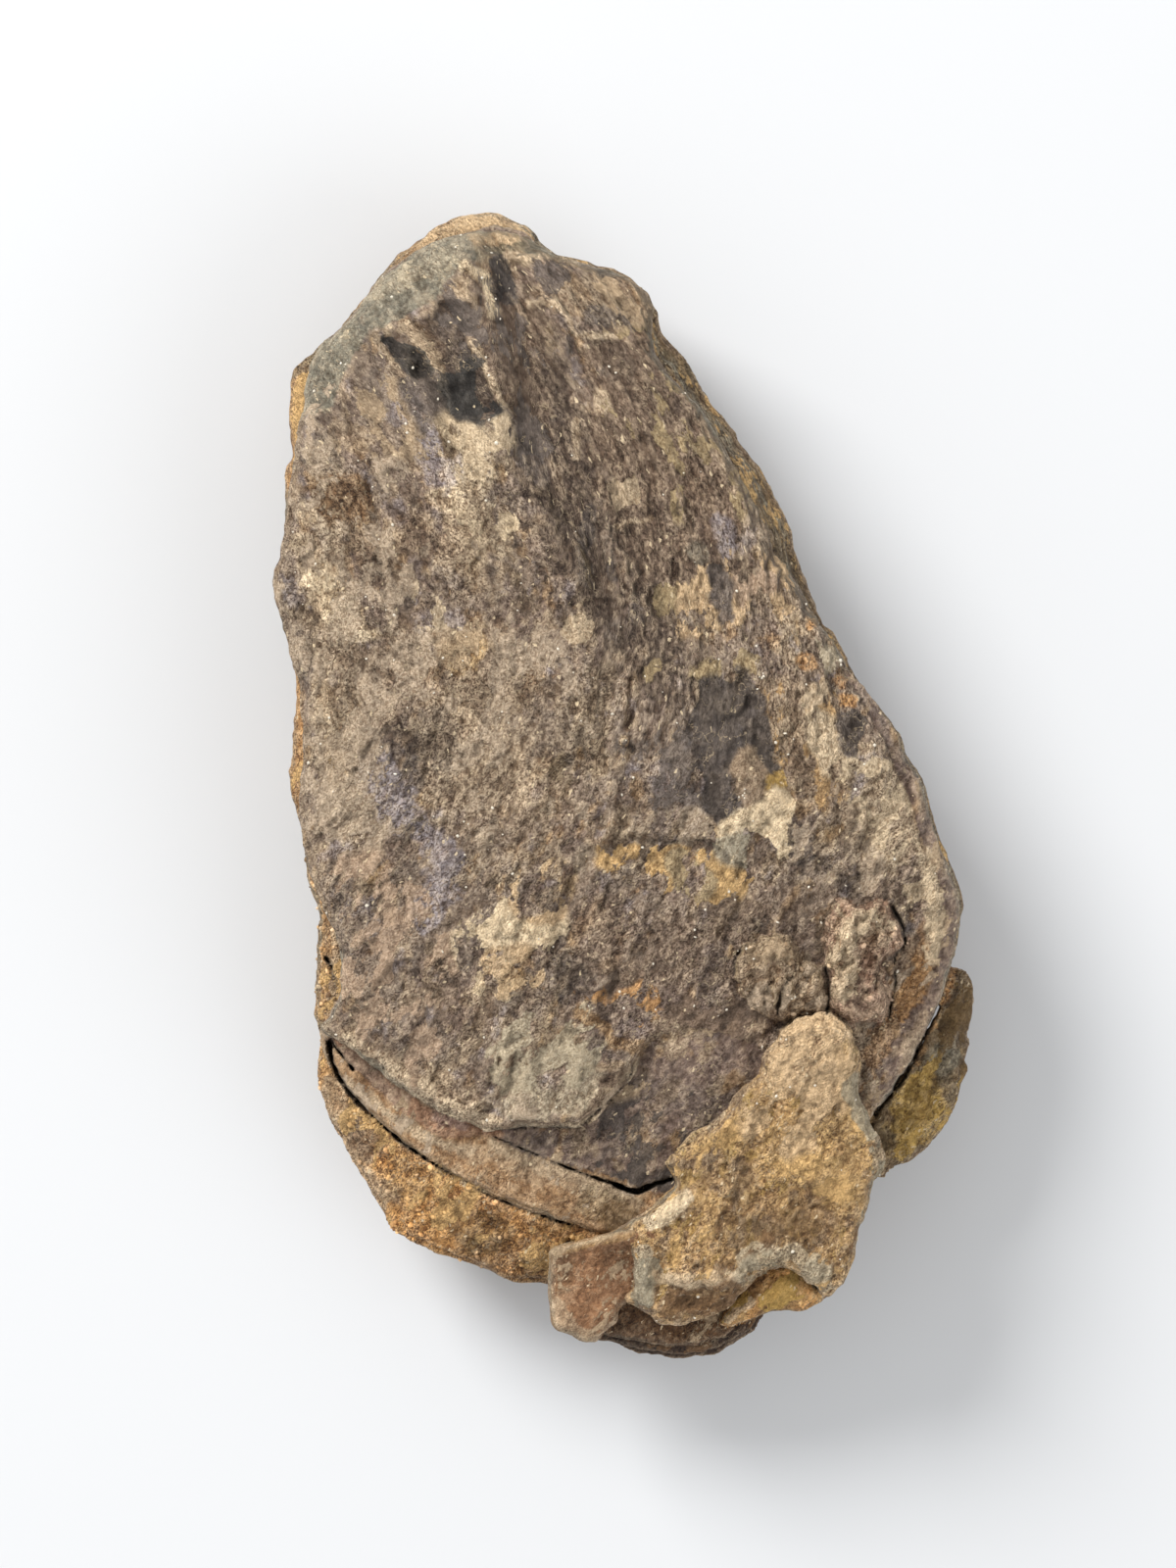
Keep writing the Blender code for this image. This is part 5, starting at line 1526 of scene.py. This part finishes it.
def grain_group():
    """Takes a ground colour, and gives it grains and flakes, with the height they stand at."""
    group = bpy.data.node_groups.new("mineral grain", "ShaderNodeTree")
    face = group.interface
    face.new_socket("Ground", in_out="INPUT", socket_type="NodeSocketColor")
    face.new_socket("Crust", in_out="INPUT", socket_type="NodeSocketColor")
    face.new_socket("Place", in_out="INPUT", socket_type="NodeSocketVector")
    for name in ("Cover", "Fibre", "Contrast", "Pits"):
        face.new_socket(name, in_out="INPUT", socket_type="NodeSocketFloat")
    face.new_socket("Colour", in_out="OUTPUT", socket_type="NodeSocketColor")
    for name in ("Height", "Roughness"):
        face.new_socket(name, in_out="OUTPUT", socket_type="NodeSocketFloat")
    n = Nodes(group)
    given = n.add("NodeGroupInput").outputs
    bent = n.vector("ADD", given["Place"], n.vector("SCALE", n.vector("SUBTRACT", n.noise(
        given["Place"], 1.6, 3.0, 0.6, "Color"), (0.5, 0.5, 0.5)), scale=0.6))
    short = n.vector("MULTIPLY", bent, (1.0, 0.7, 0.8))
    drawn_out = n.vector("MULTIPLY", bent, (1.1, 0.42, 0.8))
    place = n.add("ShaderNodeMix", {"data_type": "VECTOR"}, i0=given["Fibre"], i4=short,
                  i5=drawn_out).outputs[1]

    cells = n.add("ShaderNodeTexVoronoi", None, Vector=place, Scale=CELL_SCALE)
    shade = n.add("ShaderNodeSeparateColor", None, Color=cells.outputs["Color"]).outputs[0]
    # Rare cells are pale grains, made glossier and cream; the cream is partly the grain's own and partly a
    # painted glint.
    bright_grain_and_glint = n.band(shade, 0.992, 0.994)
    grit = n.noise(place, GRIT_SCALE, 2.0, 0.7)
    fleck = n.noise(n.vector("ADD", place, (5.0, 9.0, 2.0)), FLECK_SCALE, 7.0, 0.72)
    flake = n.noise(n.vector("ADD", place, (7.0, 1.0, 4.0)), FLAKE_SCALE, 9.0, 0.66)
    calm = n.noise(n.vector("ADD", place, (3.0, 8.0, 1.0)), CALM_SCALE, 2.0, 0.5)
    vein = n.math("ABSOLUTE", n.math("SUBTRACT", n.noise(bent, 0.42, 3.0, 0.6), 0.5))
    strength = n.math("MULTIPLY", given["Contrast"], n.stretch(calm, 0.35, 0.65, 0.6, 1.3))
    kept = n.math("SUBTRACT", flake, n.stretch(given["Cover"], 0.0, 1.0, 0.70, 0.30))
    crust = n.band(kept, -0.012, 0.012)
    pitted = n.math("MULTIPLY", n.band(flake, 0.45, 0.42), given["Pits"])
    chips = n.add("ShaderNodeTexNoise", {"noise_type": "RIDGED_MULTIFRACTAL"}, Vector=place,
                  Scale=CHIP_SCALE, Detail=4.0, Roughness=0.55).outputs["Fac"]
    flecked = n.math("MULTIPLY", n.band(fleck, 0.56, 0.60), given["Contrast"])
    dark_fleck = n.math("MULTIPLY", n.band(fleck, 0.43, 0.38), given["Contrast"])
    # Thin pale lines along crests, also raised in the bump: partly pale veins, partly a painted highlight
    # where a crest catches the light.
    crest = n.math("MULTIPLY", n.band(vein, 0.010, 0.003), n.band(calm, 0.50, 0.56))

    grey = n.math("MULTIPLY", n.math("SUBTRACT", grit, 0.5), 4.6)
    grey = n.math("ADD", grey, n.math("MULTIPLY", n.math("SUBTRACT", shade, 0.5), 0.9))
    light = n.math("ADD", n.math("MULTIPLY", grey, strength), 0.5, clamp=True)
    grained = n.mix(light, n.vector("MULTIPLY", given["Ground"], (0.32, 0.26, 0.22)),
                    n.vector("MULTIPLY", given["Ground"], (1.68, 1.72, 1.80)))
    paler = n.vector("SCALE", n.mix(0.3, grained, (*BUFF, 1)), scale=1.3)
    crusty = n.mix(light, n.vector("MULTIPLY", given["Crust"], (0.60, 0.54, 0.49)),
                   n.vector("MULTIPLY", given["Crust"], (1.34, 1.35, 1.38)))
    colour = n.mix(n.math("MULTIPLY", flecked, 0.3), grained, paler)
    colour = n.mix(dark_fleck, colour, (0.84, 0.79, 0.76, 1), "MULTIPLY")
    colour = n.mix(pitted, colour, (0.74, 0.69, 0.66, 1), "MULTIPLY")
    colour = n.mix(n.math("MULTIPLY", crust, 0.82), colour, crusty)
    colour = n.mix(n.math("MULTIPLY", crest, 0.5), colour, (*BUFF, 1))
    colour = n.mix(n.math("MULTIPLY", bright_grain_and_glint, 0.8), colour, (*CREAM, 1))

    height = n.math("ADD", n.math("MULTIPLY", grit, 2.2), n.math("MULTIPLY", crest, 0.6))
    height = n.math("ADD", height, n.math("MULTIPLY", n.band(fleck, 0.35, 0.65), 0.8))
    height = n.math("ADD", height, n.math("MULTIPLY", n.band(flake, 0.41, 0.45), 0.7))
    height = n.math("ADD", height, n.math("MULTIPLY", crust, 0.6))
    height = n.math("ADD", height, n.math("MULTIPLY", chips, 1.3))
    gloss = n.math("SUBTRACT", n.stretch(grit, 0.3, 0.7, 0.9, 0.6), n.math("MULTIPLY", bright_grain_and_glint, 0.4))
    n.add("NodeGroupOutput", None, Colour=colour, Height=height, Roughness=gloss)
    return group


MINERAL_GRAIN = grain_group()
print(f"the grain group has {len(MINERAL_GRAIN.nodes)} nodes")


# %% The shale, in three kinds
def shale_material(name, contrast, pits, bump_height):
    """Stained shale. The height of its bump is in millimetres."""
    material = bpy.data.materials.new(name)
    material.use_nodes = True
    n = Nodes(material.node_tree)
    shader = material.node_tree.nodes["Principled BSDF"]
    stains = n.add("ShaderNodeAttribute", {"attribute_name": "stain"}).outputs["Color"]
    fibre = n.add("ShaderNodeAttribute", {"attribute_name": "fibre"}).outputs["Fac"]
    combed_place = n.add("ShaderNodeAttribute", {"attribute_name": "combed"}).outputs["Vector"]
    grainy = n.add("ShaderNodeAttribute", {"attribute_name": "grainy"}).outputs["Fac"]
    crust = n.add("ShaderNodeAttribute", {"attribute_name": "crust"}).outputs
    grain = n.add("ShaderNodeGroup", {"node_tree": MINERAL_GRAIN}, Ground=stains, Crust=crust["Color"],
                  Cover=crust["Alpha"], Place=combed_place, Fibre=fibre,
                  Contrast=n.math("MULTIPLY", grainy, contrast), Pits=n.math("MULTIPLY", grainy, pits))
    relief = n.math("MULTIPLY", grain.outputs["Height"], n.stretch(grainy, 0.0, 1.0, 0.4, 1.0))
    bump = n.add("ShaderNodeBump", None, Height=relief, Strength=1.0, Distance=bump_height * MM)
    links = material.node_tree.links
    links.new(grain.outputs["Colour"], shader.inputs["Base Color"])
    links.new(grain.outputs["Roughness"], shader.inputs["Roughness"])
    links.new(bump.outputs[0], shader.inputs["Normal"])
    return material


FINISHES = {
    "upper_slab": shale_material("upper shale", 0.8, 0.7, 0.13),
    "lower_slab": shale_material("crumbly shale", 0.9, 0.5, 0.16),
    "loose_leaves": shale_material("ochre shale", 0.58, 0.5, 0.12),
}
for piece, grid in stone_pieces:
    piece.data.materials.append(FINISHES[piece.name])
print("finishes:", ", ".join(material.name for material in FINISHES.values()))

# %% [markdown]
# ## Crumbs and bright grains
# Where the stone crumbles, crumbs lie on it, and here and there a grain of quartz shines. Two
# masks say where. One Geometry Nodes tree does the rest: it strews points over a stone as
# thickly as a mask asks, sets a little turned and stretched chip of twenty faces on each, and
# gives back the chips alone. Every crumb keeps the colour of the stone under it.

# %% Where crumbs and bright grains lie
CRUMBLED_EDGE = ((-23.8, -5.0), (-22.4, -10.0), (-22.0, -14.0), (-22.6, -18.0))
BRIGHT_GRAINS = ((-0.1, 3.4), (10.0, 8.1), (7.9, -8.1), (8.7, -0.6), (12.6, -15.9), (-15.6, 30.4),
                 (-21.0, 31.6))
CRUMBS_FROM = 6.0  # no crumb lies lower than this on the sides
GRAINS_FROM = 11.0


def crumb_mask(owner, x, y):
    """Crumbs lie on the crescent, along the crumbled edge and on the lumps."""
    crescent = ramp(within(CRESCENT_AREA, x, y), -0.3, 0.4)
    lower = is_leaf(owner, "lower slab") * np.maximum(crescent, stroke(x, y, CRUMBLED_EDGE, 1.6, 0.8))
    lump = 0.5 * is_leaf(owner, "left lump", "right lump")
    return np.maximum(lower, lump) * ramp(rough(x, y, 0, 2.2, 120), -0.1, 0.15)


def bright_mask(owner, x, y):
    """Bright grains lie thinly all over, and surely at a few places."""
    mask = 0.02 * ramp(rough(x, y, 0, 5.0, 121), -0.2, 0.1)
    for place in BRIGHT_GRAINS:
        mask = np.maximum(mask, spot(x, y, place, (0.7, 0.7), 0.1))
    return mask * is_leaf(owner, "top bed", "left lump", "right lump", "loose leaf")


# %% The tree that strews the chips
SHAPE_SEED = 7
FULL_TURN = 6.3  # about one turn, in radians


def scatter_tree():
    """A tree that strews chips over a stone, with its sizes, mask, seed and material as inputs."""
    tree = bpy.data.node_groups.new("strewn chips", "GeometryNodeTree")
    face = tree.interface
    face.new_socket("Stone", in_out="INPUT", socket_type="NodeSocketGeometry")
    face.new_socket("Mask", in_out="INPUT", socket_type="NodeSocketString")
    for name in ("Thickest", "Smallest", "Largest"):
        face.new_socket(name, in_out="INPUT", socket_type="NodeSocketFloat")
    face.new_socket("Seed", in_out="INPUT", socket_type="NodeSocketInt")
    face.new_socket("Material", in_out="INPUT", socket_type="NodeSocketMaterial")
    face.new_socket("Chips", in_out="OUTPUT", socket_type="NodeSocketGeometry")
    n = Nodes(tree)
    given = n.add("NodeGroupInput").outputs
    mask = n.add("GeometryNodeInputNamedAttribute", {"data_type": "FLOAT"}, Name=given["Mask"]).outputs[0]
    points = n.add("GeometryNodeDistributePointsOnFaces", None, Mesh=given["Stone"],
                   Density=n.math("MULTIPLY", mask, given["Thickest"]), Seed=given["Seed"]).outputs[0]
    chip = n.add("GeometryNodeMeshIcoSphere", None, Radius=1.0, Subdivisions=1).outputs[0]
    vector = {"data_type": "FLOAT_VECTOR"}
    turn = n.add("FunctionNodeRandomValue", vector, i1=(FULL_TURN, FULL_TURN, FULL_TURN),
                 Seed=given["Seed"]).outputs[0]
    shape = n.add("FunctionNodeRandomValue", vector, i0=(0.5, 0.5, 0.5), i1=(1.2, 1.2, 1.2),
                  Seed=SHAPE_SEED).outputs[0]
    size = n.add("FunctionNodeRandomValue", {"data_type": "FLOAT"}, i2=given["Smallest"],
                 i3=given["Largest"], Seed=given["Seed"]).outputs[1]
    chips = n.add("GeometryNodeInstanceOnPoints", None, Points=points, Instance=chip, Rotation=turn,
                  Scale=n.vector("SCALE", shape, scale=size)).outputs[0]
    chips = n.add("GeometryNodeRealizeInstances", None, i0=chips).outputs[0]
    chips = n.add("GeometryNodeSetMaterial", None, Geometry=chips, Material=given["Material"]).outputs[0]
    n.add("NodeGroupOutput", None, Chips=chips)
    return tree


# %% Strew them, and keep them as plain meshes
CHIPS = scatter_tree()
CHIP_FACES = 20


def strewn(name, stone, **settings):
    """A new piece that holds the chips strewn over a stone."""
    modifier = stone.modifiers.new("chips", "NODES")
    modifier.node_group = CHIPS
    for item in CHIPS.interface.items_tree:
        if item.in_out == "INPUT" and item.name in settings:
            modifier[item.identifier] = settings[item.name]
    bpy.context.view_layer.update()
    graph = bpy.context.evaluated_depsgraph_get()
    mesh = bpy.data.meshes.new_from_object(stone.evaluated_get(graph))
    stone.modifiers.remove(modifier)
    mesh.name = name
    piece = bpy.data.objects.new(name, mesh)
    bpy.context.scene.collection.objects.link(piece)
    print(f"{name}: {len(mesh.polygons) // CHIP_FACES} chips")
    return piece


def quartz_material():
    """Pale and glossy, so that a grain catches the light."""
    material = bpy.data.materials.new("quartz")
    material.use_nodes = True
    shader = material.node_tree.nodes["Principled BSDF"]
    shader.inputs["Base Color"].default_value = (0.80, 0.74, 0.62, 1.0)
    shader.inputs["Roughness"].default_value = 0.28
    return material


# %% Crumbs on two pieces, and bright grains on two
PER_MM2 = 1e6  # how many to a square metre is one to a square millimetre
QUARTZ = quartz_material()
chip_pieces = []
for piece, grid in stone_pieces:
    places = places_and_normals(piece)[0]
    x, y, z = places.T
    store(piece, "crumbs", "FLOAT", crumb_mask(owners(places, grid), x, y) * (z > CRUMBS_FROM))
    store(piece, "bright", "FLOAT", bright_mask(owners(places, grid), x, y) * (z > GRAINS_FROM))
    if piece.name != "loose_leaves":
        chip_pieces.append(strewn(
            piece.name + "_crumbs", piece, Mask="crumbs", Thickest=2.4 * PER_MM2, Smallest=0.07 * MM,
            Largest=0.26 * MM, Seed=3, Material=FINISHES[piece.name]))
    if piece.name != "lower_slab":
        chip_pieces.append(strewn(
            piece.name + "_quartz", piece, Mask="bright", Thickest=5.0 * PER_MM2, Smallest=0.05 * MM,
            Largest=0.16 * MM, Seed=5, Material=QUARTZ))

# %% [markdown]
# ## Camera, floor and light
# The stone lies on its flat side and the camera looks straight down on it. The key light comes
# from the upper left and rather low, so that every flake and pit throws a little shade. A small
# lamp would throw hard shadows, so each light is a wide disk, as a window is.

# %% Camera
FRAME = (1200, 1600)  # the picture's width and height in pixels
STONE_MIDDLE = (638, 802)  # where the middle of the stone comes in it, from the upper left
PIXELS_PER_MM = 13.6
FACE_HEIGHT = 12.0
CAMERA_AWAY = 700.0


def add_camera():
    """A camera straight above the stone, far enough away that its sides hardly show."""
    data = bpy.data.cameras.new("camera")
    data.sensor_fit = "VERTICAL"
    view_height = FRAME[1] / PIXELS_PER_MM
    data.angle_y = 2 * math.atan(view_height / 2 / CAMERA_AWAY)
    data.clip_start = 0.01
    data.clip_end = 10.0
    camera = bpy.data.objects.new("camera", data)
    x = (FRAME[0] / 2 - STONE_MIDDLE[0]) / PIXELS_PER_MM
    y = (STONE_MIDDLE[1] - FRAME[1] / 2) / PIXELS_PER_MM
    camera.location = (x * MM, y * MM, (FACE_HEIGHT + CAMERA_AWAY) * MM)
    bpy.context.scene.collection.objects.link(camera)
    bpy.context.scene.camera = camera
    print(f"the camera is {camera.location.z:.3f} m up")


add_camera()


# %% Lights
def add_light(name, place, size, watts, colour):
    """A disk of light that faces the stone."""
    data = bpy.data.lights.new(name, "AREA")
    data.shape = "DISK"
    data.size = size
    data.energy = watts
    data.color = colour
    light = bpy.data.objects.new(name, data)
    light.location = place
    light.rotation_euler = (-light.location).to_track_quat("-Z", "Y").to_euler()
    bpy.context.scene.collection.objects.link(light)


def pale_room():
    """Even light from all round, a little warm."""
    world = bpy.data.worlds.new("pale room")
    world.use_nodes = True
    background = world.node_tree.nodes["Background"]
    background.inputs["Color"].default_value = (1.0, 0.98, 0.95, 1.0)
    background.inputs["Strength"].default_value = 0.62
    return world


add_light("key", place=(-0.57, 0.61, 0.58), size=0.5, watts=10.6, colour=(1.0, 0.975, 0.94))
add_light("fill", place=(0.7, -0.5, 0.6), size=1.0, watts=3.2, colour=(0.97, 0.98, 1.0))
bpy.context.scene.world = pale_room()
bpy.context.scene.view_settings.view_transform = "Standard"

# %% Floor
FLOOR_REACH = 1500.0


def pale_floor():
    """A wide square under the stone, with a plain pale finish."""
    material = bpy.data.materials.new("pale floor")
    material.use_nodes = True
    shader = material.node_tree.nodes["Principled BSDF"]
    shader.inputs["Base Color"].default_value = (0.73, 0.755, 0.79, 1)
    shader.inputs["Roughness"].default_value = 0.8
    corners = np.array([(-1, -1, 0), (1, -1, 0), (1, 1, 0), (-1, 1, 0)]) * FLOOR_REACH
    square = mesh_object("floor", corners, np.array([(0, 1, 2, 3)]))
    square.data.materials.append(material)
    return square


floor = pale_floor()

# %% [markdown]
# ## The end
# The stone is one body, so every piece rides on it, and the frame's solid of the stone is hidden.

# %% Tie every piece to the frame, and hide the solid
for piece in [piece for piece, grid in stone_pieces] + chip_pieces:
    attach(piece, "root")
    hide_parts("stone")
